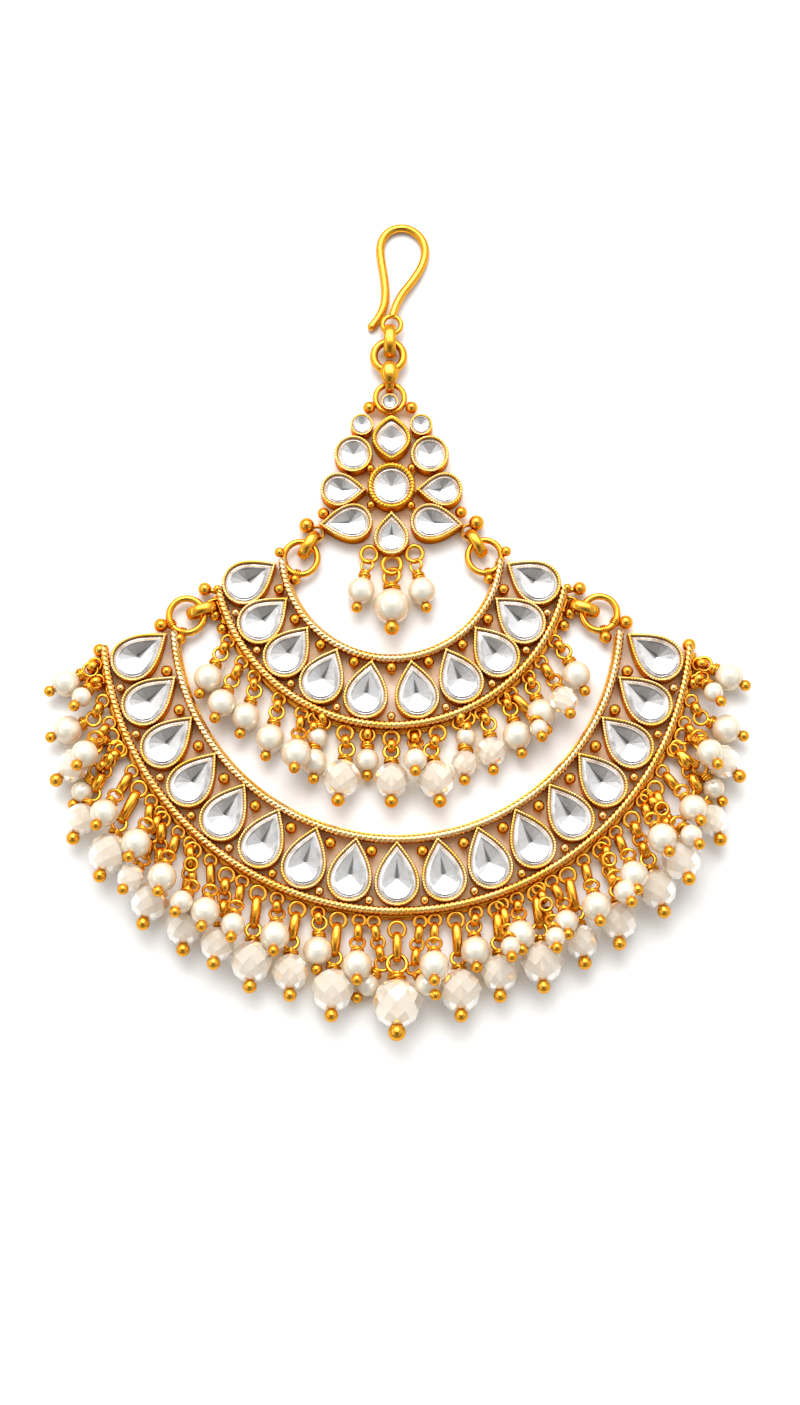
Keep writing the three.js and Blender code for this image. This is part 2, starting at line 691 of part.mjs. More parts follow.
function bailSolid() {
  const length = bail.high - bail.low;
  const dome = new THREE.SphereGeometry(1, 10, 6);
  dome.scale(bailDome.width / 2, length / 2 - bailDome.inset, bailDome.height / 2);
  dome.translate(bail.x, bail.low + length / 2, link.base + link.height - bailDome.sunk);
  return solid(uprightLink(bail)).add(solid(dome));
}

function centreDropSolid() {
  const { link: hanger, eye, beadY, radius } = centreDrop;
  const start = new THREE.Vector2(lower.x, hanger.start);
  const hung = solid(standingLink(start, new THREE.Vector2(0, -1), hanger.length, hanger.band));
  const eyePoint = new THREE.Vector3(lower.x, eye.y, eye.z);
  return hung.add(linkedDrop(eyePoint, new THREE.Vector3(lower.x, beadY, radius), radius, eye));
}

// The settings of the lower crescent, from its left end to its right end.
function lowerCrescentSettings() {
  const half = lowerStonesPerSide;
  return Array.from({ length: 2 * half + 1 }, (_, i) => {
    const step = i - half;
    const word = step < 0 ? 'left' : 'right';
    const name = step === 0 ? 'lower_stone_middle' : `lower_stone_${word}_${Math.abs(step)}`;
    return crescentSetting(lower, name, step * lowerStoneStep, stoneTurn.lower);
  });
}

function upperCrescentSettings() {
  return SIDES.flatMap(([side, word]) => upperStoneAngles.map((angle, i) => {
    return crescentSetting(upper, `upper_stone_${word}_${i + 1}`, side * angle, stoneTurn.upper);
  }));
}

function addStones(settings) {
  settings.forEach((setting) => add(setting.name, stone(setting), glass));
}

add('hook', geometryOf(hook()), gold);
add('hook_link', uprightLink(hookLink), gold);
const { outer, inner } = topRing;
add('top_ring', geometryOf(flatRing(topRing.x, topRing.y, topRing.z, outer, inner)), gold);
add('bail', geometryOf(bailSolid()), gold);

const settingsOfCrest = crestSettings();
add('crest_frame', geometryOf(crestFrame(settingsOfCrest)), gold);
addStones(settingsOfCrest);
add('crest_drop_middle', geometryOf(crestDrop(1, middleDrop)), pearl);

const settingsOfUpper = upperCrescentSettings();
add('upper_crescent', geometryOf(upperCrescent(settingsOfUpper)), gold);
addStones(settingsOfUpper);

const settingsOfLower = lowerCrescentSettings();
add('lower_crescent', geometryOf(lowerCrescent(settingsOfLower)), gold);
addStones(settingsOfLower);
add('centre_drop', geometryOf(centreDropSolid()), peachGlass);

for (const [side, word] of SIDES) {
  add(`crest_drop_${word}`, geometryOf(crestDrop(side, sideDrop)), pearl);
  const { length, band } = crestLink;
  add(`crest_link_${word}`, standingLink(upperRingAt(side), linkDirection(side), length, band), gold);
  const ring = lowerRingAt(side);
  const inward = new THREE.Vector2(upper.x, upper.y).sub(ring).normalize();
  add(`side_link_${word}`, standingLink(ring, inward, sideLink.length, sideLink.band), gold);
}

// The upper fringe's middle drop is carried by the left-hand strip.
const laidLeft = [];
const middleOfUpper = fringeDrop(upper, 1, upperMiddle, laidLeft);
const upperLeft = fringe(upper, -1, upperFringe, fringeSpans.upperLeft, laidLeft, [middleOfUpper]);
const upperRight = fringe(upper, 1, upperFringe, fringeSpans.upperRight, []);
add('upper_fringe_left', geometryOf(upperLeft), pearl);
add('upper_fringe_right', geometryOf(upperRight), pearl);

for (const [side, word] of SIDES) {
  const laid = [];
  const nearDrops = fringe(lower, side, lowerFringeInner, fringeSpans.lowerInner, laid);
  add(`lower_fringe_${word}_inner`, geometryOf(nearDrops), pearl);
  const at = polar(lower, side * fringeKnob.angle, stripRadius(lower) + strip.width + fringeKnob.out);
  const knob = ball(at.x, at.y, WIRE_HEIGHT, fringeKnob.radius);
  const farDrops = fringe(lower, side, lowerFringeOuter, fringeSpans.lowerOuter, laid, [knob]);
  add(`lower_fringe_${word}_outer`, geometryOf(farDrops), pearl);
}

// The origin is the middle of the footprint, on the surface that the piece lies on.
const box = new THREE.Box3().setFromObject(headpiece);
const middleOfBox = box.getCenter(new THREE.Vector3());
headpiece.position.set(-middleOfBox.x, -middleOfBox.y, -box.min.z);

export default headpiece;
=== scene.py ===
# %% [markdown]
# # A passa headpiece in gold, foiled glass, pearls and peach crystal
# The passa is worn at the side of the head. It hangs from a hook: a small crest, a narrow
# crescent, a wide crescent, and a row of beads under each of them. This lesson dresses its
# plain CAD frame. The frame gives the places and sizes, and every piece made here rides on it.

# %% Load the frame
import bpy
import math
import numpy as np
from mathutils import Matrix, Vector


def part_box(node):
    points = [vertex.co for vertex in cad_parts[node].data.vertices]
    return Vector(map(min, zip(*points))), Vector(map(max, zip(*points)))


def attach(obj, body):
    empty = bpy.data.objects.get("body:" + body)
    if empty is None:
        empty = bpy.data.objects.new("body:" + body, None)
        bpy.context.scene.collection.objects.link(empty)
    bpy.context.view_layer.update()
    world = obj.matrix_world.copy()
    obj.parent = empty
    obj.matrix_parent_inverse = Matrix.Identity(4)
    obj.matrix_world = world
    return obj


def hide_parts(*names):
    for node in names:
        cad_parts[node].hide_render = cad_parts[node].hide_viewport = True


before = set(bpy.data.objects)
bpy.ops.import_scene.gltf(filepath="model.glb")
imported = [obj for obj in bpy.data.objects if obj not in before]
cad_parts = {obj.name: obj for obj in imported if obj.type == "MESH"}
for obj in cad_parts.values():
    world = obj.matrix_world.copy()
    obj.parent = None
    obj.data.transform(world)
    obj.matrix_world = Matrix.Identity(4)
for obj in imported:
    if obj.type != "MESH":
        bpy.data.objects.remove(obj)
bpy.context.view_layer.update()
print("nodes in the frame:", len(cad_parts))

# %% [markdown]
# Jewellery is drawn in millimetres, from the two crescents' own centres. The lesson keeps
# that plan, and moves it onto the frame in one place: the middle stone of the crest is
# known in both.

# %% The drawing plan and where it lies in the frame
MILLIMETRE = 0.001
CREST_X = -0.87
CREST_CENTRE_Y = 23.67

low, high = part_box("crest_stone_centre")
middle = (low + high) / 2 / MILLIMETRE
SHIFT = np.array([middle.x - CREST_X, middle.y - CREST_CENTRE_Y, 0.0])
print("plan to frame, mm:", SHIFT.round(3))


def vec(x, y, z=0.0):
    return np.array([x, y, z], float)


def unit(v):
    v = np.asarray(v, float)
    return v / np.linalg.norm(v)


UP = (0, 0, 1)


def steps_round(count):
    """Angles at equal steps round a circle."""
    return np.arange(count) * math.tau / count


# %% [markdown]
# Almost everything here is wire: drawn, bent, twisted or coiled. One helper that sweeps a
# round section along a path makes most of it. Blender's curve bevels could do it too, but a
# swept mesh lets the radius change round the section, as twisted or notched wire needs.

# %% Sweep a section along a path
def tangents(path, closed):
    if closed:
        run = np.roll(path, -1, 0) - np.roll(path, 1, 0)
    else:
        run = np.gradient(path, axis=0)
    return run / np.linalg.norm(run, axis=1)[:, None]


UPRIGHT = 0.9  # a line steeper than this is given X, not Z, for its side


def side_of(line):
    return vec(0, 0, 1) if abs(line[2]) < UPRIGHT else vec(1, 0, 0)


def frames(path, closed, up):
    """Two directions across the path at each point: upright ones where up is given."""
    along = tangents(path, closed)
    if up is not None:
        first = up - (along @ np.array(up, float))[:, None] * along
        first /= np.linalg.norm(first, axis=1)[:, None]
        return first, np.cross(along, first)
    guess, first = side_of(along[0]), []
    for step in along:
        guess = unit(guess - guess.dot(step) * step)
        first.append(guess)
    first = np.array(first)
    return first, np.cross(along, first)


def skin(rows, cap=False, closed=False):
    """Faces over a grid of points: rows follow each other, and each row is a ring."""
    rows = np.asarray(rows)
    count, sides, _ = rows.shape
    index = np.arange(count * sides).reshape(count, sides)
    ahead = np.roll(index, -1, 0) if closed else index[1:]
    here = index if closed else index[:-1]
    quads = np.stack([here, np.roll(here, -1, 1), np.roll(ahead, -1, 1), ahead], -1)
    faces = quads.reshape(-1, 4).tolist()
    if cap:
        faces += [index[0][::-1].tolist(), index[-1].tolist()]
    return rows.reshape(-1, 3), faces


def sweep(path, radius, sides=8, closed=False, up=None, wide=1.0):
    """A bar along a path. radius is one number, or one for each point and side. wide
    stretches the section sideways."""
    path = np.asarray(path, float)
    first, second = frames(path, closed, up)
    angle = steps_round(sides)[None, :, None]
    section = np.cos(angle) * first[:, None] + wide * np.sin(angle) * second[:, None]
    radius = np.broadcast_to(radius, (len(path), sides))[..., None]
    return skin(path[:, None] + radius * section, not closed, closed)


def smooth_path(points, steps):
    """A curve through the points, with steps pieces between each two."""
    p = np.asarray(points, float)
    p = np.vstack([2 * p[0] - p[1], p, 2 * p[-1] - p[-2]])
    out = []
    for a, b, c, d in zip(p, p[1:], p[2:], p[3:]):
        for t in np.arange(steps) / steps:
            out.append(0.5 * (2 * b + (c - a) * t + (2 * a - 5 * b + 4 * c - d) * t * t
                              + (3 * b - a - 3 * c + d) * t ** 3))
    out.append(p[-2])
    return np.array(out)


print("a test bar has", len(sweep([[0, 0, 0], [0, 0, 1]], 0.3)[0]), "points")

# %% [markdown]
# Beads, balls, pins and collars are turned: a profile spun round a line. Rings are closed
# bars. With the sweep, these helpers are the whole tool box for the metalwork.

# %% Turned shapes, balls and rings
def directions_round(along, angle):
    """Directions square to a line at these angles. The first is as upright as it can be."""
    guess = side_of(along)
    first = unit(guess - guess.dot(along) * along)
    return np.cos(angle)[:, None] * first + np.sin(angle)[:, None] * np.cross(along, first)


def turned(start, along, profile, sides):
    """profile rows are [distance from the start, radius]."""
    start, along = np.asarray(start, float), unit(along)
    spokes = directions_round(along, steps_round(sides))
    rows = [start + distance * along + radius * spokes for distance, radius in profile]
    return skin(rows, cap=True)


def ball(at, radius, sides, rings, along=UP, flat=0.06):
    """A ball turned round a line, with a small flat of this angle at each pole."""
    lines = np.linspace(flat, math.pi - flat, rings + 1)
    profile = [[-radius * math.cos(a), radius * math.sin(a)] for a in lines]
    return turned(at, along, profile, sides)


def balls(pairs):
    """Balls on both sides: height, radius, and x and y of the left and the right one."""
    return [ball(vec(*at, z), radius, 20, 12)
            for z, radius, *both in pairs for at in (both[:2], both[2:])]


def ring(centre, outer, wire, axis=UP, steps=32, sides=8):
    """A ring of round wire: outer is its outside radius and wire the wire's radius."""
    axis = unit(axis)
    path = centre + (outer - wire) * directions_round(axis, steps_round(steps))
    return sweep(path, wire, sides, closed=True, up=axis)


def on_arc(centre, degrees, radius, z=0.0):
    """A point by its angle from straight down, to the right, round a crescent's centre."""
    a = math.radians(degrees)
    return vec(centre[0] + radius * math.sin(a), centre[1] - radius * math.cos(a), z)


def arc(centre, radius, start, end, z, step):
    """A path round a crescent's centre, with points about step mm apart."""
    count = max(2, int(abs(math.radians(end - start)) * radius / step) + 1)
    return np.array([on_arc(centre, a, radius, z) for a in np.linspace(start, end, count)])


# %% [markdown]
# A piece is many small solids of one metal, gathered into one mesh. The CAD nodes it
# stands for are hidden, and it is joined to the body it moves with.

# %% Gather solids into a named piece
made = {}


def add_object(name, data):
    obj = bpy.data.objects.new(name, data)
    bpy.context.scene.collection.objects.link(obj)
    return obj


def piece(name, parts, materials, nodes, sharp):
    """parts are (points, faces) or (points, faces, number of the material)."""
    points, faces, finish, start = [], [], [], 0
    for part in parts:
        verts, polygons = part[0], part[1]
        points.append(verts)
        faces.extend([[i + start for i in face] for face in polygons])
        finish.extend([part[2] if len(part) > 2 else 0] * len(polygons))
        start += len(verts)
    mesh = bpy.data.meshes.new(name)
    mesh.from_pydata(((np.vstack(points) + SHIFT) * MILLIMETRE).tolist(), [], faces)
    for material in materials:
        mesh.materials.append(material)
    mesh.polygons.foreach_set("material_index", finish)
    mesh.shade_smooth()
    mesh.set_sharp_from_angle(angle=math.radians(sharp))
    mesh.update()
    obj = add_object(name, mesh)
    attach(obj, "root")
    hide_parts(*nodes)
    made[name] = sum(len(face) - 2 for face in faces)


# %% [markdown]
# ## The camera and the light
# The ornament lies on a white table and is seen almost from straight above, a little from
# its fringe. Polished gold shows whatever is round it, so the light is planned as a tent:
# a wide soft box beyond the hook, pale walls, and a dark side near the lens that gives the
# gold its brown shadows.

# %% The camera
MIDDLE_OF_VIEW = vec(0.465, -11.02, 2.0)
CAMERA_DISTANCE = 0.4
CAMERA_TILT = math.radians(11)
target = Vector((MIDDLE_OF_VIEW + SHIFT) * MILLIMETRE)
camera_data = bpy.data.cameras.new("camera")
camera_data.sensor_fit = "VERTICAL"
camera_data.sensor_height = 36.0
camera_data.lens = 66.1
camera_data.clip_start = 0.01
camera = add_object("camera", camera_data)
camera.location = target + CAMERA_DISTANCE * Vector(
    (0, -math.sin(CAMERA_TILT), math.cos(CAMERA_TILT)))
camera.rotation_euler = (CAMERA_TILT, 0, 0)
bpy.context.scene.camera = camera
bpy.context.scene.view_settings.view_transform = "Standard"
print("camera at", [round(c, 4) for c in camera.location])


# %% A short way to write shader nodes
def node(tree, kind, inputs=None, **settings):
    """A shader node with its settings; inputs may be values or other nodes' outputs."""
    made_node = tree.nodes.new("ShaderNode" + kind)
    for key, value in settings.items():
        setattr(made_node, key, value)
    for key, value in (inputs or {}).items():
        if isinstance(value, bpy.types.NodeSocket):
            tree.links.new(value, made_node.inputs[key])
        else:
            made_node.inputs[key].default_value = value
    return made_node


def maths(tree, operation, a, b=0.0, **settings):
    return node(tree, "Math", {0: a, 1: b}, operation=operation, **settings).outputs[0]


def ramp(tree, value, start, end, at_start, at_end, kind="LINEAR"):
    """Follows value from start to end, and is level beyond them."""
    return node(tree, "MapRange", {0: value, 1: start, 2: end, 3: at_start, 4: at_end},
                interpolation_type=kind).outputs[0]


def mix(tree, share, colour, other):
    return node(tree, "Mix", {0: share, 6: colour, 7: other}, data_type="RGBA").outputs[2]


# %% The light tent
world = bpy.data.worlds.new("light_tent")
bpy.context.scene.world = world
world.use_nodes = True
sky = world.node_tree
sky.nodes.clear()


def band(value, centre, half, soft):
    """1 inside a band round centre, falling to 0 over soft outside it."""
    off = maths(sky, "ABSOLUTE", maths(sky, "SUBTRACT", value, centre))
    return ramp(sky, off, half, half + soft, 1.0, 0.0, "SMOOTHSTEP")


def patch(*bands):
    """A soft rectangle: centre, half and soft ahead, then the same three across."""
    return maths(sky, "MULTIPLY", band(ahead, *bands[:3]), band(across, *bands[3:]))


# Directions are measured on a level pane over the table, one unit above it.
HORIZON = 0.03
view = node(sky, "TexCoord").outputs["Generated"]
direction = node(sky, "SeparateXYZ", {0: view}).outputs
height = maths(sky, "MAXIMUM", direction[2], HORIZON)
across = maths(sky, "DIVIDE", direction[0], height)
ahead = maths(sky, "DIVIDE", direction[1], height)

# The tent's own grey: pale beyond the hook, darker on the near side.
glow = ramp(sky, ahead, -1.5, 0.4, 0.5, 0.85, "SMOOTHSTEP")
# The soft box, its bright core, and a strip of light at the left and at the right.
for bands, strength in [((1.15, 0.5, 0.25, 0.0, 1.0, 0.3), 0.55),
                        ((0.52, 0.25, 0.15, 0.0, 0.4, 0.2), 2.7),
                        ((0.1, 1.1, 0.4, -1.75, 0.4, 0.2), 1.3),
                        ((0.1, 0.8, 0.4, 2.0, 0.3, 0.2), 0.7)]:
    glow = maths(sky, "ADD", glow, maths(sky, "MULTIPLY", patch(*bands), strength))
# The gap in the tent, where the lens looks in: darkest at the lens, dim below it.
DIM = 0.4
gap = ramp(sky, patch(-0.95, 0.7, 0.3, 0.0, 0.3, 0.25), 0.0, 1.0, 1.0, DIM)
lens = ramp(sky, patch(-0.34, 0.16, 0.1, 0.0, 0.1, 0.08), 0.0, 1.0, 1.0, DIM)
opening = maths(sky, "MULTIPLY", gap, lens)
# Everything is darker low down, near the table.
low_down = ramp(sky, direction[2], 0.0, 0.28, 0.5, 1.0, "SMOOTHSTEP")
glow = maths(sky, "MULTIPLY", maths(sky, "MULTIPLY", glow, opening), low_down)
# Skin and wood show through the gap, so what is dim there is also warm.
tint = mix(sky, opening, (1.0, 0.84, 0.68, 1), (1, 1, 1, 1))
backdrop = node(sky, "Background", {0: tint, 1: glow})
node(sky, "OutputWorld", {0: backdrop.outputs[0]})
print("light tent:", len(sky.nodes), "nodes")

# %% A soft lamp beyond the hook, for gentle shadows towards the fringe
lamp_data = bpy.data.lights.new("soft_lamp", "AREA")
lamp_data.shape = "RECTANGLE"
lamp_data.size, lamp_data.size_y = 0.5, 0.35
lamp_data.energy = 3.0
lamp = add_object("soft_lamp", lamp_data)
lamp.location = (-0.06, 0.42, 0.5)
lamp.rotation_euler = (-lamp.location).to_track_quat("-Z", "Y").to_euler()

# %% [markdown]
# ## Finishes
# Two effects are used by more than one finish, so each is a node group. `hand_polish` breaks
# up a surface as polishing does: slow changes of colour and fine ripples. The other is painted
# shade: it darkens the colour to brown in corners and recesses, where less light gets in.

# %% Shared effects
def new_group(name, inputs, outputs):
    """Inputs and outputs with colour in their names are colours, and the others numbers."""
    group = bpy.data.node_groups.new(name, "ShaderNodeTree")
    for way, labels in (("INPUT", inputs), ("OUTPUT", outputs)):
        for label in labels:
            kind = "NodeSocketColor" if "colour" in label.lower() else "NodeSocketFloat"
            group.interface.new_socket(label, in_out=way, socket_type=kind)
    return group, group.nodes.new("NodeGroupInput").outputs, group.nodes.new("NodeGroupOutput")


hand_polish, given, result = new_group(
    "hand_polish",
    ["Colour", "Second colour", "Patch scale", "Ripple scale", "Smoothest", "Roughest"],
    ["Colour", "Roughness", "Ripple"])
place = node(hand_polish, "TexCoord").outputs["Object"]
patches, ripples = [
    node(hand_polish, "TexNoise",
         {"Vector": place, "Scale": given[scale], "Detail": detail}).outputs[0]
    for scale, detail in (("Patch scale", 3.0), ("Ripple scale", 2.0))]
share = ramp(hand_polish, patches, 0.35, 0.65, 0.0, 1.0)
mixed = mix(hand_polish, share, given["Colour"], given["Second colour"])
rough = ramp(hand_polish, ripples, 0.3, 0.7, given["Smoothest"], given["Roughest"])
for value, socket in zip((mixed, rough, ripples), result.inputs):
    hand_polish.links.new(value, socket)

# Painted shade: where walls stand close round a point, its colour turns darker.
painted_recess_shade, given, result = new_group(
    "painted_recess_shade", ["Colour", "Recess colour", "Reach", "Strength"], ["Colour"])
hidden = node(painted_recess_shade, "AmbientOcclusion", {"Distance": given["Reach"]}, samples=4)
mask = ramp(painted_recess_shade, hidden.outputs["AO"], 0.85, 0.3, 0.0, 1.0)
mask = maths(painted_recess_shade, "MULTIPLY", mask, given["Strength"], use_clamp=True)
toned = mix(painted_recess_shade, mask, given["Colour"], given["Recess colour"])
painted_recess_shade.links.new(toned, result.inputs[0])
print("shared effects:", [g.name for g in bpy.data.node_groups])


# %% A finish made with the shared effects
def use_group(tree, group, *values):
    """Places a group and fills its inputs in order; gives its outputs."""
    return node(tree, "Group", dict(enumerate(values)), node_tree=group).outputs


def hand_finish(name, colours, scales, roughness, relief, tone=None, **sockets):
    """Two colours, the scales of patches and ripples, the least and most roughness, and the
    ripples' strength and depth in metres. tone is a function that changes the colour, and
    sockets are plain values of the shader."""
    finish = bpy.data.materials.new(name)
    finish.use_nodes = True
    tree = finish.node_tree
    shader = tree.nodes["Principled BSDF"]
    for label, value in sockets.items():
        shader.inputs[label.replace("_", " ")].default_value = value
    polish = use_group(tree, hand_polish, *colours, *scales, *roughness)
    colour = tone(tree, polish["Colour"]) if tone else polish["Colour"]
    strength, depth = relief
    raised = node(tree, "Bump",
                  {"Height": polish["Ripple"], "Strength": strength, "Distance": depth})
    tree.links.new(colour, shader.inputs["Base Color"])
    tree.links.new(polish["Roughness"], shader.inputs["Roughness"])
    tree.links.new(raised.outputs[0], shader.inputs["Normal"])
    return finish


# %% [markdown]
# Gold plate is warm and never one colour. Its corners between bezels are given painted shade, a
# brown that stands in for the light they don't get. The rims, the outer granules and the inner
# rope have a paler gold, nearly silver in patches: painted glints for the bright reflections on
# their notches and strands. The walls and edges have a slightly darker gold: painted shade.

# %% The golds
GOLD = (0.88, 0.44, 0.05, 1)
GOLD_WARM = (0.86, 0.39, 0.035, 1)
# The brown of the painted shade in corners.
GOLD_PAINTED_SHADE = (0.46, 0.17, 0.012, 1)


def gold(name, colour, second, roughness, reach=0.0012, strength=1.0,
         grazing=(0.95, 0.55, 0.16, 1)):
    """reach is how far from a corner the painted shade goes, in metres."""
    def painted_corner_shade(tree, polish):
        return use_group(tree, painted_recess_shade, polish, GOLD_PAINTED_SHADE, reach, strength)["Colour"]

    return hand_finish(name, (colour, second), (260.0, 2600.0), roughness, (0.12, 0.00003),
                       painted_corner_shade, Metallic=1.0, Specular_Tint=grazing)


polished_gold = gold("polished_gold", GOLD, GOLD_WARM, (0.11, 0.23))
# Bezel gold: a slightly darker, more orange copy with a dimmer grazing tint, as painted shade on
# the walls.
bezel_gold = gold("bezel_gold", (0.86, 0.42, 0.045, 1), (0.80, 0.35, 0.03, 1), (0.14, 0.3),
                  0.0008, 0.6, (0.86, 0.40, 0.08, 1))
# The inner rope's and the rims' paler gold, nearly silver in patches, is a painted glint.
painted_glint_rope_gold = gold("painted_glint_rope_gold", (0.95, 0.69, 0.36, 1), (0.92, 0.55, 0.16, 1),
                      (0.08, 0.18), 0.0005)
rope_gold = gold("rope_gold", (0.93, 0.59, 0.20, 1), (0.90, 0.48, 0.08, 1), (0.08, 0.18),
                 0.0005)
painted_glint_rim_gold = gold("painted_glint_rim_gold", (0.91, 0.60, 0.25, 1), (0.90, 0.46, 0.06, 1), (0.12, 0.26),
                0.0006, 0.7)


def gold_piece(name, parts, node_name=None, finish=polished_gold, sharp=60):
    """A piece of gold plate, for the node of its own name unless another is given."""
    piece(name, parts, [finish], [node_name or name], sharp)


# %% [markdown]
# The stones are cut glass with silver foil behind them. Seen from above, each facet is a
# small mirror under a glossy clear skin, so the shader is silver with a coat, and the cut
# does most of the rest: the side of the hollow that leans to the soft box is white and the
# opposite side is dark. The girdle and the keel, the fold above the apex, have darker finishes:
# a painted shadow along the girdle at the metal, and a painted dark reflection on the keel.

# %% Foiled glass
foiled_glass = hand_finish(
    "foiled_glass", ((0.74, 0.73, 0.73, 1), (0.62, 0.61, 0.60, 1)), (420.0, 700.0),
    (0.14, 0.26), (0.15, 0.00006),
    Metallic=0.85, Coat_Weight=1.0, Coat_Roughness=0.02, Coat_IOR=1.5)
bevel_glass = hand_finish(
    "bevel_glass", ((0.80, 0.79, 0.78, 1), (0.52, 0.49, 0.46, 1)), (600.0, 900.0),
    (0.1, 0.26), (0.2, 0.00008),
    Metallic=0.85, Coat_Weight=1.0, Coat_Roughness=0.03, Coat_IOR=1.5)
girdle_shadow = hand_finish(
    "girdle_shadow", ((0.10, 0.08, 0.07, 1), (0.26, 0.19, 0.13, 1)), (700.0, 1500.0),
    (0.2, 0.45), (0.2, 0.00005), Metallic=0.6)
# The keel's grey and dark finishes are a painted dark reflection on the fold above a pear's apex.
keel_painted_grey, keel_painted_dark = [
    hand_finish(name, colours, (700.0, 1200.0), (0.15, 0.3), (0.15, 0.00005),
                Metallic=0.85, Coat_Weight=0.6, Coat_Roughness=0.05)
    for name, colours in (("keel_painted_grey", ((0.40, 0.40, 0.40, 1), (0.30, 0.30, 0.30, 1))),
                          ("keel_painted_dark", ((0.12, 0.12, 0.12, 1), (0.22, 0.21, 0.20, 1))))]

# %% [markdown]
# A glass pearl is dipped many times in pearl lacquer: a creamy body, a clear glossy skin, and
# a peach glow round its edge, where the layers are seen at a slant.

# %% Pearl and peach crystal
def edge_tint(blend, tint):
    """Changes the colour where the surface is seen at a slant."""
    def tone(tree, colour):
        slant = node(tree, "LayerWeight", {"Blend": blend}).outputs["Facing"]
        return mix(tree, slant, colour, tint)
    return tone


pearl = hand_finish(
    "pearl", ((0.77, 0.715, 0.59, 1), (0.80, 0.765, 0.66, 1)), (250.0, 500.0), (0.18, 0.22),
    (0.02, 0.00004), edge_tint(0.38, (0.84, 0.60, 0.33, 1)),
    Metallic=0.3, Coat_Weight=0.8, Coat_Roughness=0.06)
peach_crystal = hand_finish(
    "peach_crystal", ((1.0, 0.96, 0.895, 1), (1.0, 0.93, 0.825, 1)), (300.0, 900.0),
    (0.05, 0.12), (0.03, 0.00003), edge_tint(0.4, (0.98, 0.84, 0.62, 1)),
    IOR=1.33, Transmission_Weight=0.58, Coat_Weight=1.0, Coat_Roughness=0.02)
# The drill hole through a crystal looks like a peach thread with milky sides.
drilled_core = hand_finish(
    "drilled_core", ((0.95, 0.70, 0.45, 1), (0.96, 0.82, 0.66, 1)), (900.0, 1500.0),
    (0.2, 0.4), (0.2, 0.00005))


# %% The white table
def painted_gold_bounce(tree, colour):
    """Painted bounce light and shade: where gold walls stand close round the gaps, the paper is
    tinted tan.
    """
    hidden = node(tree, "AmbientOcclusion", {"Distance": 0.004}, samples=8)
    closed_in = ramp(tree, hidden.outputs["AO"], 0.48, 0.1, 0.0, 1.0)
    return mix(tree, closed_in, colour, (0.86, 0.68, 0.38, 1))


table_white = hand_finish(
    "table_white", ((0.86, 0.86, 0.86, 1), (0.85, 0.85, 0.846, 1)), (8.0, 60.0), (0.55, 0.7),
    (0.02, 0.0001), painted_gold_bounce)
HALF_TABLE = 3.0
table_mesh = bpy.data.meshes.new("table")
table_mesh.from_pydata(
    [(HALF_TABLE * x, HALF_TABLE * y, 0) for x, y in ((-1, -1), (1, -1), (1, 1), (-1, 1))],
    [], [(0, 1, 2, 3)])
table_mesh.materials.append(table_white)
table = add_object("table", table_mesh)
print("materials:", len(bpy.data.materials))

# %% [markdown]
# ## Settings: bezel, rim and stone
# A setting is a cup of gold strip bent to the stone's outline. Its upper edge is pushed
# over the stone and rolled with a notched wheel, which leaves slanted bright grains. The
# same outline, moved in or out a little, makes the wall, the rim and the stone.

# %% Outlines
def run_along(path):
    """The distance from the path's start to each of its points."""
    return np.concatenate([[0], np.cumsum(np.linalg.norm(np.diff(path, axis=0), axis=1))])


def evenly(points, count):
    """The same closed outline with count points an equal way apart, the first one kept."""
    loop = np.vstack([points, points[:1]])
    run = run_along(loop)
    marks = np.linspace(0, run[-1], count, endpoint=False)
    return np.stack([np.interp(marks, run, loop[:, k]) for k in (0, 1)], 1)


def pear(radius, reach):
    """Tip on +Y at reach, round end of this radius about the origin."""
    t = np.linspace(0, 1, 60)
    half = radius * np.sin(t * math.pi / 2)
    side = np.stack([-half, reach * (1 - t)], 1)
    bend = np.linspace(math.pi, 2 * math.pi, 60)[1:-1]
    back = radius * np.stack([np.cos(bend), np.sin(bend)], 1)
    return np.vstack([side, back, side[:0:-1] * [-1, 1]])


def marquise(radius, reach):
    t = np.linspace(-1, 1, 80)
    half = radius * np.cos(t * math.pi / 2) ** 0.75
    side = np.stack([-half, -reach * t], 1)
    return np.vstack([side, side[-2:0:-1] * [-1, 1]])


def disc(radius, reach):
    a = steps_round(96) + math.pi / 2
    return radius * np.stack([np.cos(a), np.sin(a)], 1)


TIP_FACTOR = 1.5  # a pointed tip moves out further than the sides do


def outline(setting, off):
    """The stone's outline moved out by off."""
    radius, reach = setting["size"]
    return setting["shape"](radius + off, reach + off * TIP_FACTOR)


def placed(flat, setting, z):
    """Points turned to their setting's direction, at its place. z is one height or one for
    each point."""
    a = math.radians(setting["turn"])
    turn = np.array([[math.cos(a), math.sin(a)], [-math.sin(a), math.cos(a)]])
    flat = flat @ turn + [setting["x"], setting["y"]]
    return np.column_stack([flat, np.full(len(flat), z)])


# %% The wall and the notched rim
WALL_HIGH = 2.8
# The wall's section, from its foot up and over to the seat inside: offset and height.
WALL_SECTION = [(-0.06, 0.15), (0.0, 0.3), (-0.04, 1.6), (0.0, 2.6), (-0.06, WALL_HIGH),
                (-0.28, 2.86), (-0.42, 2.74), (-0.44, 2.3), (-0.46, 1.0)]
WALL_POINTS = 44
GRAIN_POINTS = 6  # points along each grain of the rim
RIM_SIDES = 10


def bezel_wall(setting):
    return skin([placed(evenly(outline(setting, off * setting["scale"]), WALL_POINTS), setting, z)
                 for off, z in WALL_SECTION], cap=True)


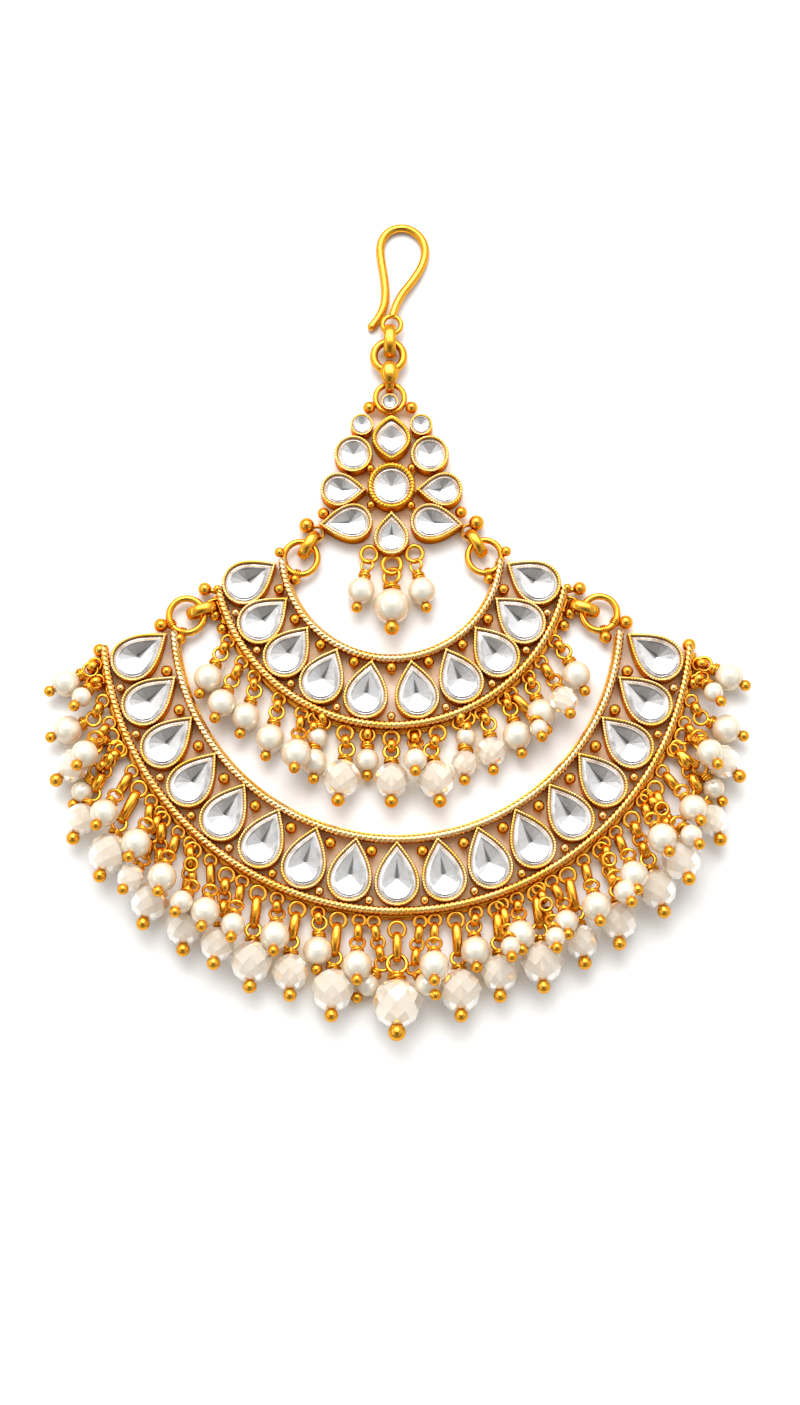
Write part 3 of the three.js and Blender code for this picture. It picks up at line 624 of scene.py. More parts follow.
def notched_rim(setting):
    """A rounded rim whose surface rises and falls in slanted grains."""
    thick = setting["rim"]
    middle = outline(setting, -0.02 - thick)
    length = run_along(np.vstack([middle, middle[:1]]))[-1]
    count = max(10, round(length / setting["grain"])) * GRAIN_POINTS
    path = placed(evenly(middle, count), setting, WALL_HIGH)
    along = np.arange(count)[:, None] / GRAIN_POINTS * math.tau
    wave = np.cos(along + setting["slant"] * np.sin(steps_round(RIM_SIDES)))
    radius = thick * (1.0 - setting["depth"] * (0.5 + 0.5 * wave))
    return sweep(path, radius, RIM_SIDES, closed=True, up=UP)


# %% The stone
STONE_FINISHES = [bevel_glass, foiled_glass, girdle_shadow, keel_painted_grey, keel_painted_dark]
BEVEL, HOLLOW, GIRDLE, KEEL_SIDE, KEEL = range(5)
LIP_HEIGHT = 2.7
EDGE_POINTS = 48
LIP_POINTS = 4  # points along the lip of each flat cut
APEX_BACK = 0.12  # how far the hollow's point lies towards the tip, as a share of the length
# Rows from the metal inwards: share of the bevels' width, and height.
GIRDLE_ROWS = [(-0.1, 1.6), (-0.1, 2.6), (0.04, 2.66)]
BEVEL_ROWS = [(0.04, 2.56), (0.36, 2.68), (0.44, 2.63), (0.72, 2.78), (1.0, LIP_HEIGHT)]
# The keel is a painted dark reflection: dim facets laid over the fold above the apex. Its
# shoulders lie on the cut at KEEL_CORNER.
# Each row: share of the way to that corner and to the tip, height over the cuts, and tone.
KEEL_CORNER = 3
KEELS = [(0.24, 0.80, 0.012, KEEL_SIDE), (0.11, 0.68, 0.024, KEEL)]


def foiled_stone(setting):
    """A dark girdle line at the metal, a painted shadow, two rounds of bevels, then the hollow:
    flat cuts that meet in its deepest point. In a pear the keel, a painted dark reflection, lies
    over them."""
    cuts, deep = setting["cuts"], setting["hollow"]
    bottom = LIP_HEIGHT - deep
    pointed = setting["shape"] is pear

    def inset(share, count):
        return evenly(outline(setting, -setting["lip"] - setting["bevel"] * share), count)

    parts = []
    for rows, tone in ((GIRDLE_ROWS, GIRDLE), (BEVEL_ROWS, BEVEL)):
        ledges = [placed(inset(share, EDGE_POINTS), setting, z) for share, z in rows]
        parts.append((*skin(ledges), tone))
    lip = inset(1.0, cuts * LIP_POINTS)
    apex = np.array([0.0, APEX_BACK * setting["size"][1] * pointed])
    corners = lip[::LIP_POINTS] - apex
    rises = []
    for k, at in enumerate(lip - apex):
        one, other = corners[k // LIP_POINTS], corners[(k // LIP_POINTS + 1) % cuts]
        rises.append(deep * np.linalg.solve(np.array([one, other]).T, at).sum())
    points = np.vstack([placed(lip, setting, bottom + np.array(rises)),
                        placed(apex[None, :], setting, bottom)])
    last = len(lip)
    parts.append((points, [[(i + 1) % last, i, last] for i in range(last)], HOLLOW))
    if pointed:
        for share, tall, rise, tone in KEELS:
            side = corners[KEEL_CORNER] * share
            flat = apex + np.array([[0, 0], side, corners[0] * tall, side * [-1, 1]])
            heights = bottom + rise + deep * np.array([0, share, tall, share])
            parts.append((placed(flat, setting, heights), [[0, 2, 1], [0, 3, 2]], tone))
    return parts


# %% A setting's measures
# The rim's thickness, the length, slant and depth of its grains, how far the metal goes over
# the stone, the bevels' width, the hollow's depth, the wall's scale, and the flat cuts.
USUAL = dict(rim=0.23, grain=0.44, slant=0.9, depth=0.22, lip=0.42, bevel=1.06, hollow=0.75,
             scale=1.0, cuts=14)


def setting(name, shape, radius, reach, x, y, turn, **special):
    return dict(USUAL, name=name, shape=shape, size=(radius, reach), x=x, y=y, turn=turn,
                **special)


def set_stones(settings):
    for each in settings:
        piece(each["name"], foiled_stone(each), STONE_FINISHES, [each["name"]],
              sharp=4)


# %% [markdown]
# ## Twisted wire
# Each crescent is held between two ropes on top of a thin wall. Wires twisted together have
# a section like a clover leaf that turns along the way, and it is swept here.

# %% Rope
STRANDS = 3
ROPE_WIDTH = 1.34
ROPE_SIDES = 18
STRAND_SPACING = 0.78


def rope(path):
    """Each strand is a bulge of the section, and the bulges turn along the path."""
    turn = run_along(path)[:, None] / (STRAND_SPACING * STRANDS) * math.tau
    bulge = np.abs(np.cos((steps_round(ROPE_SIDES)[None, :] + turn) * STRANDS / 2))
    return sweep(path, ROPE_WIDTH / 2 * (0.70 + 0.30 * bulge), ROPE_SIDES, up=UP)


WALL_FOOT, WALL_TOP, HALF_WALL = 0.1, 2.3, 0.35


def wall_arc(centre, radius, end):
    """A flat strip bent on edge under a rope."""
    path = arc(centre, radius, -end, end, 0.0, 0.8)
    out = path - vec(*centre)
    out /= np.linalg.norm(out, axis=1)[:, None]
    section = ((-1, WALL_FOOT), (1, WALL_FOOT), (1, WALL_TOP), (-1, WALL_TOP))
    rows = np.stack([path + out * side * HALF_WALL + vec(0, 0, z) for side, z in section], 1)
    return skin(rows, cap=True)


# %% [markdown]
# ## The two crescents
# Pear stones stand side by side like petals, with their tips to the middle of the arc. The
# outer ones lag behind the radius a little, as when a maker opens the fan by eye. Small
# balls of gold, called granules, are soldered into the gaps at both edges.

# %% Measures of the crescents
UPPER = (-0.87, 13.0)
LOWER = (0.0, 2.3)
SIDES = ((-1, "left"), (1, "right"))
LOWER_STEP = 10.1  # degrees from stone to stone


def petal(name, angle, centre, radius, round_end, reach, lag):
    """The setting at this angle of a crescent. lag turns the outer ones back."""
    x, y, _ = on_arc(centre, angle, radius)
    turn = angle - math.copysign(lag * angle * angle, angle)
    return setting(name, pear, round_end, reach, x, y, turn)


upper_settings = [
    petal(f"upper_stone_{word}_{i}", side * angle, UPPER, 23.6, 3.5, 6.0, 0.0035)
    for side, word in SIDES for i, angle in enumerate([9.8, 27.6, 44.6, 60.9, 77.3], 1)]
lower_names = ([f"left_{i}" for i in range(8, 0, -1)] + ["middle"]
               + [f"right_{i}" for i in range(1, 9)])
lower_settings = [
    petal(f"lower_stone_{name}", i * LOWER_STEP, LOWER, 41.6, 3.5, 6.7, 0.0045)
    for i, name in enumerate(lower_names, -8)]
print("settings:", len(upper_settings), "upper,", len(lower_settings), "lower")


# %% A crescent from its measures
ROPE_Z = 2.45
ROPE_STEP = 0.13


def granules(centre, angles, radius, z, size):
    """Small balls on the ends of their posts, on both sides of the middle."""
    parts = []
    for angle in [s * a for a in angles for s in ((1,) if a == 0 else (-1, 1))]:
        x, y, _ = on_arc(centre, angle, radius)
        post = [[0, size * 0.8], [z - 0.3, size * 0.8]]
        parts += [ball(vec(x, y, z), size, 16, 10),
                  turned([x, y, 0.2], UP, post, 14)]
    return parts


def crescent(name, centre, settings, ropes, wires, inner, outer):
    """ropes are radius and half angle of each rope. wires run beside them: radius, half
    angle, height, step, thickness, sides and width. inner and outer are rows of granules:
    angles, radius, height and size."""
    def add(label, parts, finish, sharp=60):
        gold_piece(f"{name}_{label}", parts, f"{name}_crescent", finish, sharp)

    add("bezels", map(bezel_wall, settings), bezel_gold, 35)
    add("rims", map(notched_rim, settings), painted_glint_rim_gold, 80)
    for (radius, end), label, finish in zip(ropes, ("rope_inner", "rope_outer"),
                                            (painted_glint_rope_gold, rope_gold)):
        add(label, [rope(arc(centre, radius, -end, end, ROPE_Z, ROPE_STEP))], finish)
    edges = [wall_arc(centre, *each) for each in ropes]
    for radius, end, z, step, thick, sides, wide in wires:
        edges.append(sweep(arc(centre, radius, -end, end, z, step), thick, sides,
                           up=UP, wide=wide))
    add("edges", edges, bezel_gold, 40)
    add("granules_inner", granules(centre, *inner), polished_gold)
    add("granules_outer", granules(centre, *outer), painted_glint_rim_gold)
    set_stones(settings)


# %% The upper and the lower crescent
crescent("upper", UPPER, upper_settings, ((17.15, 86.0), (27.65, 78.0)),
         [(16.5, 85, 1.6, 0.6, 0.2, 8, 1.0), (28.35, 76, 0.75, 0.7, 0.4, 10, 1.3)],
         ([0, 18.2, 36.6, 54.2, 71], 18.55, 2.2, 0.87),
         ([0, 18.8, 36.5, 53, 68], 26.2, 2.3, 0.68))
crescent("lower", LOWER, lower_settings, ((34.8, 86.5), (45.75, 84.5)),
         [(34.15, 85.5, 1.6, 0.8, 0.2, 8, 1.0), (46.45, 83.5, 0.75, 0.9, 0.42, 10, 1.35)],
         ([6.1 + 10.1 * i for i in range(8)], 36.75, 2.2, 0.92),
         ([5.5 + 10.0 * i for i in range(8)], 44.3, 2.3, 0.72))
print("pieces so far:", len(made))

# %% [markdown]
# ## Rings and balls at the crescents' ends
# Each crescent ends in a flat ring. Fine wire is wound three times over the ring and the
# rope to tie them, and a polished ball finishes every bar end.

# %% Rings, wraps and end balls
WRAP = (0.85, 0.15)  # outer radius of a wrap and its wire


def wrapped_ring(centre, outer, inner, to_rope, turns):
    """A flat ring with wraps of wire where it meets the rope."""
    wire = (outer - inner) / 2
    parts = [ring(centre, outer, wire, steps=48, sides=12)]
    for degrees in turns:
        a = math.radians(degrees)
        out = vec(to_rope[0] * math.cos(a) - to_rope[1] * math.sin(a),
                  to_rope[0] * math.sin(a) + to_rope[1] * math.cos(a))
        at = centre + out * (outer - wire)
        tangent = vec(-out[1], out[0])
        for shift in (-0.3, 0.0, 0.3):
            parts.append(ring(at + tangent * shift, *WRAP, axis=tangent, steps=20, sides=8))
    return parts


def end_rings(name, rings, outer, inner, to_rope, turns, others):
    """The rings at both ends of a crescent with the balls and bars beside them."""
    parts = []
    for side in (-1, 1):
        way = vec(side * to_rope[0], to_rope[1])
        parts += wrapped_ring(rings[side], outer, inner, way, turns)
    gold_piece(f"{name}_end_rings", parts + others, f"{name}_crescent")


upper_rings = {-1: vec(-15.13, 12.12, 1.6), 1: vec(13.75, 12.38, 1.6)}
lower_rings = {-1: vec(-32.87, 2.88, 1.6), 1: vec(31.66, 3.24, 1.6)}
upper_ends = balls([
    (1.6, 0.85, -15.98, 8.68, 14.45, 8.79), (2.3, 0.8, -18.42, 12.90, 17.10, 13.06),
    (1.6, 1.05, -30.08, 7.13, 28.56, 7.24), (2.6, 0.65, -28.06, 6.93, 26.59, 7.13),
    (1.4, 0.9, -28.41, 2.99, 26.99, 3.30), (1.4, 0.9, -27.27, 0.83, 26.06, 1.34)])
for x0, y0, x1, y1 in [(-30.08, 7.13, -27.6, 6.6), (28.56, 7.24, 26.2, 6.8)]:
    upper_ends.append(sweep([vec(x0, y0, 1.4), vec(x1, y1, 1.4)], 0.4, 12))
end_rings("upper", upper_rings, 3.15, 2.15, (0.2, -0.98), (0,), upper_ends)
lower_ends = balls([
    (1.6, 1.0, -33.92, -0.84, 32.51, -0.53), (1.6, 1.1, -36.84, 1.34, 35.73, 1.81),
    (1.6, 1.05, -46.31, -2.67, 45.52, -1.85), (1.6, 0.95, -46.49, -8.21, 46.04, -7.90)])
end_rings("lower", lower_rings, 3.3, 2.2, (0.6, -0.8), (-24, 24), lower_ends)


# %% [markdown]
# ## Links that join the crescents
# A link is a long oval of half-round wire that stands on edge. It passes through the ring
# below and the eye above, so the crescents can swing a little on a real head.

# %% Standing oval links
STANDING = (0.1, 3.5)  # the foot and the top of a link that stands on the table


def standing_oval(start, along, length, thick, wide, steps=36, heights=STANDING, lean=0.0):
    """A closed oval of half-round wire on edge: thick in its own plane, wide across it.
    lean tips it over, in degrees."""
    low, high = heights
    along = unit(along)
    rise, flat = directions_round(along, np.radians([lean, lean + 90]))
    centre = start + along * length / 2
    centre[2] = (high + low) / 2
    turn = steps_round(steps)
    out = np.sign(np.cos(turn)) * np.abs(np.cos(turn)) ** 0.9 * (length / 2 - thick)
    up = np.sin(turn) * ((high - low) / 2 - thick)
    path = centre + out[:, None] * along + up[:, None] * rise
    return sweep(path, wide / 2, 12, closed=True, up=flat, wide=2 * thick / wide)


def to_crest(side):
    """The way from an upper end ring to the crest's eye."""
    return unit(vec(-side * 0.53, 0.849))


for side, word in SIDES:
    start = upper_rings[side] * [1, 1, 0]
    gold_piece(f"crest_link_{word}", [standing_oval(start, to_crest(side), 4.95, 0.36, 1.65)])
    start = lower_rings[side] * [1, 1, 0]
    gold_piece(f"side_link_{word}", [standing_oval(start, vec(*UPPER) - start, 5.1, 0.36, 1.7)])

# %% Squared eyes for the side links
parts = []
for side in (-1, 1):
    out = lower_rings[side][:2] - UPPER
    angle = math.degrees(math.atan2(out[0], -out[1]))
    turn = math.degrees(1.15 / 28.3)  # half the eye's width, along the rope
    corners = [on_arc(UPPER, angle + turn * share, radius, 1.3) for share, radius in
               ((-1, 27.9), (-1, 29.5), (-0.6, 29.95), (0.6, 29.95), (1, 29.5), (1, 27.9))]
    parts.append(sweep(smooth_path(corners, 5), 0.25, 8))
gold_piece("side_eyes", parts, "upper_crescent")

# %% [markdown]
# ## The crest
# Twelve stones in their own cups are held by thin bars behind them. The round one in the
# middle and the marquise above it have heavy rims, and the others thin ones.

# %% The crest's settings
crest_settings = [
    setting("crest_stone_top", disc, 1.35, 1.35, CREST_X - 0.27, 37.35, 0,
            rim=0.12, grain=0.4, lip=0.12, bevel=0.4, hollow=0.3, scale=0.4),
    setting("crest_stone_marquise", marquise, 3.12, 3.75, CREST_X, 31.4, 0,
            rim=0.3, grain=0.45, depth=0.25, lip=0.52, bevel=0.85, hollow=0.42),
    setting("crest_stone_centre", disc, 3.78, 3.78, CREST_X, 23.6, 0,
            rim=0.4, grain=0.58, slant=1.3, depth=0.28, lip=0.72, bevel=0.9, hollow=0.5),
    setting("crest_stone_low", pear, 2.8, 4.3, CREST_X, 15.2, 0, bevel=0.8, hollow=0.5),
]
for side, word in SIDES:
    for label, shape, radius, reach, x, y, turn, rim, lip, bevel, hollow in [
            ("small", disc, 1.8, 1.8, 4.68, 33.6, 0, 0.15, 0.26, 0.45, 0.25),
            ("round", disc, 3.02, 3.02, 6.03, 28.8, 0, 0.2, 0.4, 0.82, 0.42),
            ("side", pear, 2.8, 4.55, 8.4, 23.0, 90, 0.22, 0.42, 0.8, 0.48),
            ("corner", pear, 3.0, 5.45, 5.95, 17.75, -95, 0.22, 0.42, 0.85, 0.52)]:
        crest_settings.append(setting(
            f"crest_stone_{label}_{word}", shape, radius, reach, CREST_X + side * x, y,
            side * turn, rim=rim, lip=lip, bevel=bevel, hollow=hollow,
            scale=0.6 if label == "small" else 1.0,
            depth=0.2 if shape is disc else 0.3, cuts=10 if shape is disc else 14))
gold_piece("crest_bezels", map(bezel_wall, crest_settings), "crest_frame", bezel_gold, 35)
HEAVY = ("crest_stone_centre", "crest_stone_marquise")
gold_piece("crest_rims", [notched_rim(s) for s in crest_settings if s["name"] not in HEAVY],
           "crest_frame", painted_glint_rim_gold, 80)
gold_piece("crest_rims_heavy", [notched_rim(s) for s in crest_settings if s["name"] in HEAVY],
           "crest_frame", sharp=80)
set_stones(crest_settings)

# %% The crest's bars, ring, eyes and balls
bars = [(0, 36.0, 0, 14.0), (-8.4, 23.0, 8.4, 23.0)]
for x0, y0, x1, y1 in [(0, 23.6, 6, 28.8), (0, 23.6, 6.5, 17.8), (6, 28.8, 4.6, 33.6),
                       (8.4, 23.0, 6.0, 28.8), (8.4, 23.0, 6.5, 17.8)]:
    bars += [(-x0, y0, -x1, y1), (x0, y0, x1, y1)]
parts = [sweep([vec(CREST_X + x0, y0, 0.45), vec(CREST_X + x1, y1, 0.45)], 0.32, 8)
         for x0, y0, x1, y1 in bars]
parts.append(ring(vec(-1.14, 38.25, 1.6), 2.76, 0.46, steps=56, sides=14))
parts += balls([
    (1.6, 1.2, -14.21, 17.42, 12.48, 17.84), (1.9, 0.95, -11.57, 19.28, 10.04, 19.49),
    (1.6, 1.0, -4.41, 36.72, 2.29, 36.72), (2.3, 0.68, -4.18, 26.53, 2.28, 26.63),
    (2.3, 0.68, -4.11, 20.59, 2.22, 20.53)])
for side in (-1, 1):
    eye = upper_rings[side] + 4.8 * to_crest(side)
    parts.append(ring(vec(eye[0], eye[1], 1.3), 1.3, 0.24, steps=28))
for x, y, outer, wire in [(-4.36, 12.80, 1.65, 0.36), (2.73, 12.90, 1.65, 0.36),
                          (-0.82, 11.13, 1.85, 0.4)]:
    parts.append(ring(vec(x, y, 1.3), outer, wire, steps=36, sides=10))
gold_piece("crest_plate_and_rings", parts, "crest_frame", sharp=40)


# %% [markdown]
# ## Hook, links and bail
# The hook is one springy wire that slides under the hair. Its free end is rounded, and the
# other end closes into an eye.

# %% The hook
hook_points = [(-4.09, 50.47), (-3.1, 51.8), (-2.35, 53.3), (-1.93, 55.0), (-1.9, 57.0),
               (-2.2, 59.4), (-2.6, 61.9), (-2.75, 63.9), (-2.2, 65.6), (-0.95, 66.8),
               (0.87, 67.2), (2.6, 66.65), (3.95, 65.3), (4.55, 63.5), (4.3, 61.6),
               (3.5, 59.7), (2.35, 57.9), (1.15, 56.3), (0.2, 54.7), (-0.4, 53.1), (-0.8, 51.9)]
RISE_FROM = 14  # from this point on the wire climbs to its eye
climb = np.linspace(0.72, 1.7, len(hook_points) - RISE_FROM)
heights = np.concatenate([np.full(RISE_FROM, 0.72), climb])
wire = smooth_path([vec(x, y, z) for (x, y), z in zip(hook_points, heights)], 8)
for _ in range(12):  # ease out the last kinks
    wire[1:-1] = (wire[:-2] + 2 * wire[1:-1] + wire[2:]) / 4
gold_piece("hook", [sweep(wire, 0.66, 24, up=UP), ball(wire[0], 0.66, 24, 12),
                    ring(vec(-0.84, 50.45, 1.7), 1.87, 0.4, steps=40, sides=12)])
gold_piece("hook_link", [standing_oval(vec(-1.15, 44.9), vec(0, 1), 5.6, 0.4, 1.92, 40)])
gold_piece("top_ring", [ring(vec(-1.35, 45.17, 1.8), 3.0, 0.64, steps=56, sides=16)])

# %% The bail with its domed cap
CAP_SIDES = 20
angle = steps_round(CAP_SIDES)
rows = [np.stack([-1.19 + 1.5 * math.sin(a) * np.cos(angle),
                  np.full(CAP_SIDES, 42.0 - 1.9 * math.cos(a)),
                  3.35 + 0.85 * math.sin(a) * np.sin(angle)], 1)
        for a in np.linspace(0.0, math.pi, 13)]
gold_piece("bail", [standing_oval(vec(-1.19, 39.0), vec(0, 1), 5.5, 0.3, 1.3),
                    skin(np.array(rows)[:, ::-1])])

# %% [markdown]
# ## Drops
# Under the soldered loops hang the beads, each with its own hardware: an oval jump ring seen
# on edge, an eye bent from thin wire, a little coil, the bead, and the ball that closes the
# pin below it. One recipe fits every bead, so one function lays it out along the line from
# the loop to the bead.

# %% Beads
P, C = "P", "C"  # pearl and crystal
BEAD_GLASS, BEAD_CORE = 0, 1
DRILL_FLAT = 0.12  # radians; the drill hole leaves a flat at each end
CUT_SIDES = 8
NARROWEST = 0.42  # belts are cut until one is this share of the bead's radius


def bead_piece(name, beads, node_name, kind):
    finishes, slot, sharp = {P: ([pearl], "pearl", 60),
                             C: ([peach_crystal, drilled_core], "peach_bead", 5)}[kind]
    piece(name, beads, finishes, [node_name], sharp)


def pearl_bead(centre, radius, along):
    return ball(centre, radius, 26, 16, along, DRILL_FLAT)


def belts(sides):
    """Distance and height of each belt of corners on a round bead, chosen so that every
    four-cornered facet between them is flat."""
    shrink = math.cos(math.pi / sides)
    rows = [np.array([1.0, 0.0]), np.array([shrink, math.sqrt(1 - shrink * shrink)])]
    while rows[-1][0] > NARROWEST:
        before, here = rows[-2], rows[-1] * [shrink, 1]
        step = here - before
        rows.append(before - step * (2 * before.dot(step) / step.dot(step)))
    return [row * [1, -1] for row in rows[:0:-1]] + rows


def crystal_bead(centre, radius, along):
    """A round faceted bead cut in rows of flat diamonds, and the thread of its drill hole."""
    along = unit(along)
    sides, profile = CUT_SIDES, belts(CUT_SIDES)
    middle, last = len(profile) // 2, len(profile) - 1
    points, faces = [], []
    for k, (wide, high) in enumerate(profile):
        odd = (k - middle) % 2  # every second belt is turned by half a facet
        spokes = directions_round(along, (np.arange(sides) + 0.5 * odd) * math.tau / sides)
        points.append(centre + high * radius * along + wide * radius * spokes)
        for i in range(sides):
            start = i if odd else (i - 1) % sides
            end = (start + 1) % sides
            tip = end if odd else start
            below = [(k - 1) * sides + tip] if k else []
            above = [(k + 1) * sides + tip] if k < last else []
            faces.append(above + [k * sides + end] + below + [k * sides + start])
    faces.append(list(range(sides))[::-1])
    faces.append(list(range(last * sides, (last + 1) * sides)))
    thread = sweep([centre - along * radius * 0.9, centre + along * radius * 0.9], 0.2, 8)
    return [(np.vstack(points), faces, BEAD_GLASS), (*thread, BEAD_CORE)]


# %% The hardware above and below a bead
COIL_TURNS = 2
COIL_TAPER = 0.12


def coil(start, along, radius, wire):
    """Wire wound round a line, from start along it, a little wider at its end."""
    t = np.linspace(0, 1, COIL_TURNS * 18 + 1)
    size = radius - wire - COIL_TAPER * (1 - t)
    path = (start + along * (wire + t * (2 * wire * COIL_TURNS - 0.2))[:, None]
            + size[:, None] * directions_round(along, t * COIL_TURNS * math.tau))
    return sweep(path, wire, 8)


MIDDLE_RING = (1.25, 0.28)  # outer radius and wire of the ring between two links
LINK_TALL, LINK_LEAN, SHORTEST_LINK = 2.75, -4, 2.3
PIN_AT = 0.95  # the pin comes out of the bead at this share of its radius
EYE_TURN = 24  # degrees that an eye is turned when it goes through the loop itself


def hang(loop_at, bead_at, radius, swing, side, eye_outer, eye_wire, collar, collar_wide,
         ball_size, link=None):
    """The wires of one drop. swing is the pin's lean in degrees, away from the middle.
    link is (thick, wide, reach) of the jump ring between loop and eye: beyond that reach
    there are two with a ring between. Without a link the eye goes through the loop."""
    a = math.radians(swing) * side
    down = vec(math.sin(a), -math.cos(a))
    to_eye = radius * PIN_AT + collar + eye_outer - eye_wire
    eye_z = 1.7 if link else 1.6
    pin = unit(down * to_eye + vec(0, 0, max(-2.0, min(3.0, bead_at[2] - eye_z))))
    eye_at = bead_at - pin * to_eye
    collar_top = bead_at - pin * (radius * PIN_AT + collar)
    toward = (eye_at - loop_at) * [1, 1, 0]
    apart = np.linalg.norm(toward)
    toward = toward / apart if apart > 0.3 else down
    flat, = directions_round(pin, np.radians([0 if link else EYE_TURN]))
    wire = (collar - 0.1) / 4
    parts = [
        ring(eye_at, eye_outer, eye_wire, axis=flat, steps=30, sides=10),
        coil(collar_top, pin, collar_wide / 2, wire),
        turned(collar_top, pin, [[0, collar_wide * 0.3], [collar, collar_wide * 0.36]], 12),
        turned(bead_at + pin * radius * PIN_AT, pin,
               [[0, ball_size * 0.6], [0.25, ball_size * 0.5]], 12),
        ball(bead_at + pin * (radius + ball_size * 0.72), ball_size, 18, 12),
    ]
    if link:
        thick, wide, reach = link
        low_z = max(0.08, min(loop_at[2], eye_at[2]) - 1.25)
        holds = [loop_at, eye_at]
        if apart > reach:
            holds.insert(1, (loop_at + eye_at) / 2)
            parts.append(ring(holds[1], *MIDDLE_RING, steps=28, sides=10))
        for upper, lower in zip(holds, holds[1:]):
            length = max(SHORTEST_LINK, np.linalg.norm((lower - upper)[:2]) - 0.4)
            start = (upper + lower) / 2 - toward * length / 2
            parts.append(standing_oval(start, toward, length, thick, wide, 24,
                                       (low_z, low_z + LINK_TALL), LINK_LEAN * side))
    return parts


# %% The crest's three drops
# Each row: loop, bead, radius, the pin's lean and side, the pearl's slant, and the wires:
# the eye's outer radius and wire, the collar's height and width, and the end ball.
SIDE_WIRES = (1.2, 0.24, 1.3, 2.2, 0.88)
for word, loop, at, radius, swing, side, slant, wires in [
        ("left", (-4.36, 12.8), (-5.65, 6.73), 2.2, 13, -1, -0.26, SIDE_WIRES),
        ("right", (2.73, 12.9), (3.93, 6.73), 2.2, 13, 1, 0.26, SIDE_WIRES),
        ("middle", (-0.82, 11.13), (-0.81, 4.09), 2.85, 0, 1, 0, (1.65, 0.32, 1.2, 2.9, 1.18))]:
    name, bead = f"crest_drop_{word}", vec(*at, radius)
    gold_piece(f"{name}_wire", hang(vec(*loop, 1.3), bead, radius, swing, side, *wires), name,
               sharp=50)
    bead_piece(f"{name}_pearl", [pearl_bead(bead, radius, vec(slant, -1))], name, P)

# %% The centre drop under the lower crescent
loop, bead = vec(0, -46.3, 1.5), vec(0, -57.6, 3.7)
gold_piece("centre_drop_wire",
           [ring(loop, 1.55, 0.31, steps=32),
            *hang(loop, bead, 3.7, 0, 1, 1.85, 0.36, 1.36, 3.1, 1.33, (0.34, 1.24, 6.4))],
           "centre_drop", sharp=50)
bead_piece("centre_drop_crystal", crystal_bead(bead, 3.75, vec(0, -1)), "centre_drop", C)

# %% [markdown]
# ## The fringes
# The fringe is strung by rhythm: a large crystal low down, then a small pearl higher up
# between two crystals. Beads that have no room lie on their neighbours, so each bead's
# height is found from the beads that were laid before it.

# %% Where the beads hang
# The rhythm is judged from the camera, so a bead that lies above the metal is moved along
# the line of sight.
METAL_HEIGHT = 2.0
eye_point = np.array(camera.location) / MILLIMETRE - SHIFT
# Each row: loop, left and right angle from straight down, distance from the crescent's
# centre, radius, lean of the pin, and the bead; P + C is a pearl left and a crystal right.
LOWER_ROWS = [
    (10.8, 9.6, 9.4, 58.6, 3.3, 2, C), (18.5, 16.4, 15.8, 57.4, 2.85, 0, C),
    (26.3, 22.5, 22.4, 57.9, 3.25, 2, C), (33, 28.3, 29.1, 57.7, 2.65, 8, C),
    (40.7, 34.0, 35.6, 58.1, 2.9, 0, C), (48.8, 40.5, 43.2, 58.1, 3.05, 14, C),
    (56, 50.2, 49.0, 57.6, 3.15, 17, C), (64.7, 56.9, 56.7, 57.9, 2.5, 21, C),
    (67.2, 65.1, 65.8, 55.2, 2.67, 45, C),
    (4.3, 4.6, 4.6, 57.1, 1.85, 37, P), (7.0, 6.4, 6.0, 54.3, 2.25, 0, P),
    (14.7, 13.1, 13.0, 53.2, 2.25, 3, P), (22.7, 20.6, 20.9, 52.9, 2.25, 3, P),
    (29.9, 27.6, 28.6, 54.0, 1.85, 5, P), (37, 32.6, 34.1, 54.4, 2.25, 9, P),
    (45, 41.6, 42.0, 54.2, 2.25, 10, P), (52.8, 48.6, 49.7, 53.4, 2.28, 21, P),
    (59.5, 55.8, 56.7, 54.5, 2.15, 25, P), (69.7, 66.1, 66.3, 52.8, 2.1, 25, P),
    (74.1, 70.9, 71.1, 53.9, 2.23, 65, P), (81.3, 78.8, 79.8, 52.4, 2.24, 60, P),
    (64, 60.6, 61.2, 55.7, 1.7, 33, P), (78, 75.7, 76.6, 50.5, 1.55, 31, P),
    (42, 36.6, 39.2, 55.2, 1.75, 26, P), (50, 45.1, None, 57.5, 2.1, 27, C),
    (54, None, 52.9, 56.6, 1.7, 36, P), (19.8, None, 18.7, 54.0, 1.5, 4, P),
    (27.2, None, 25.9, 55.3, 1.55, 4, P),
]
UPPER_ROWS = [
    (0, None, 0, 36.2, 2.73, 0, C), (14, 12.0, 10.8, 36.7, 2.95, 9, C),
    (24.2, 19.8, 18.6, 35.4, 2.05, 0, P + C), (7, 6.4, 6.4, 33.25, 1.8, 0, P),
    (28.5, 24.6, 26.0, 35.3, 2.35, 5, P + C), (21, 21.1, 21.4, 31.65, 1.57, 7, P),
    (36.7, 32.3, 33.7, 35.1, 2.28, 13, P), (47, 40.7, 42.1, 34.6, 2.23, 17, P),
    (53, 47.5, 48.5, 35.7, 2.2, 21, P + C), (60.8, 54.8, 55.6, 34.85, 2.23, 26, P),
    (39.5, None, 39.1, 36.2, 1.4, 14, P),
]


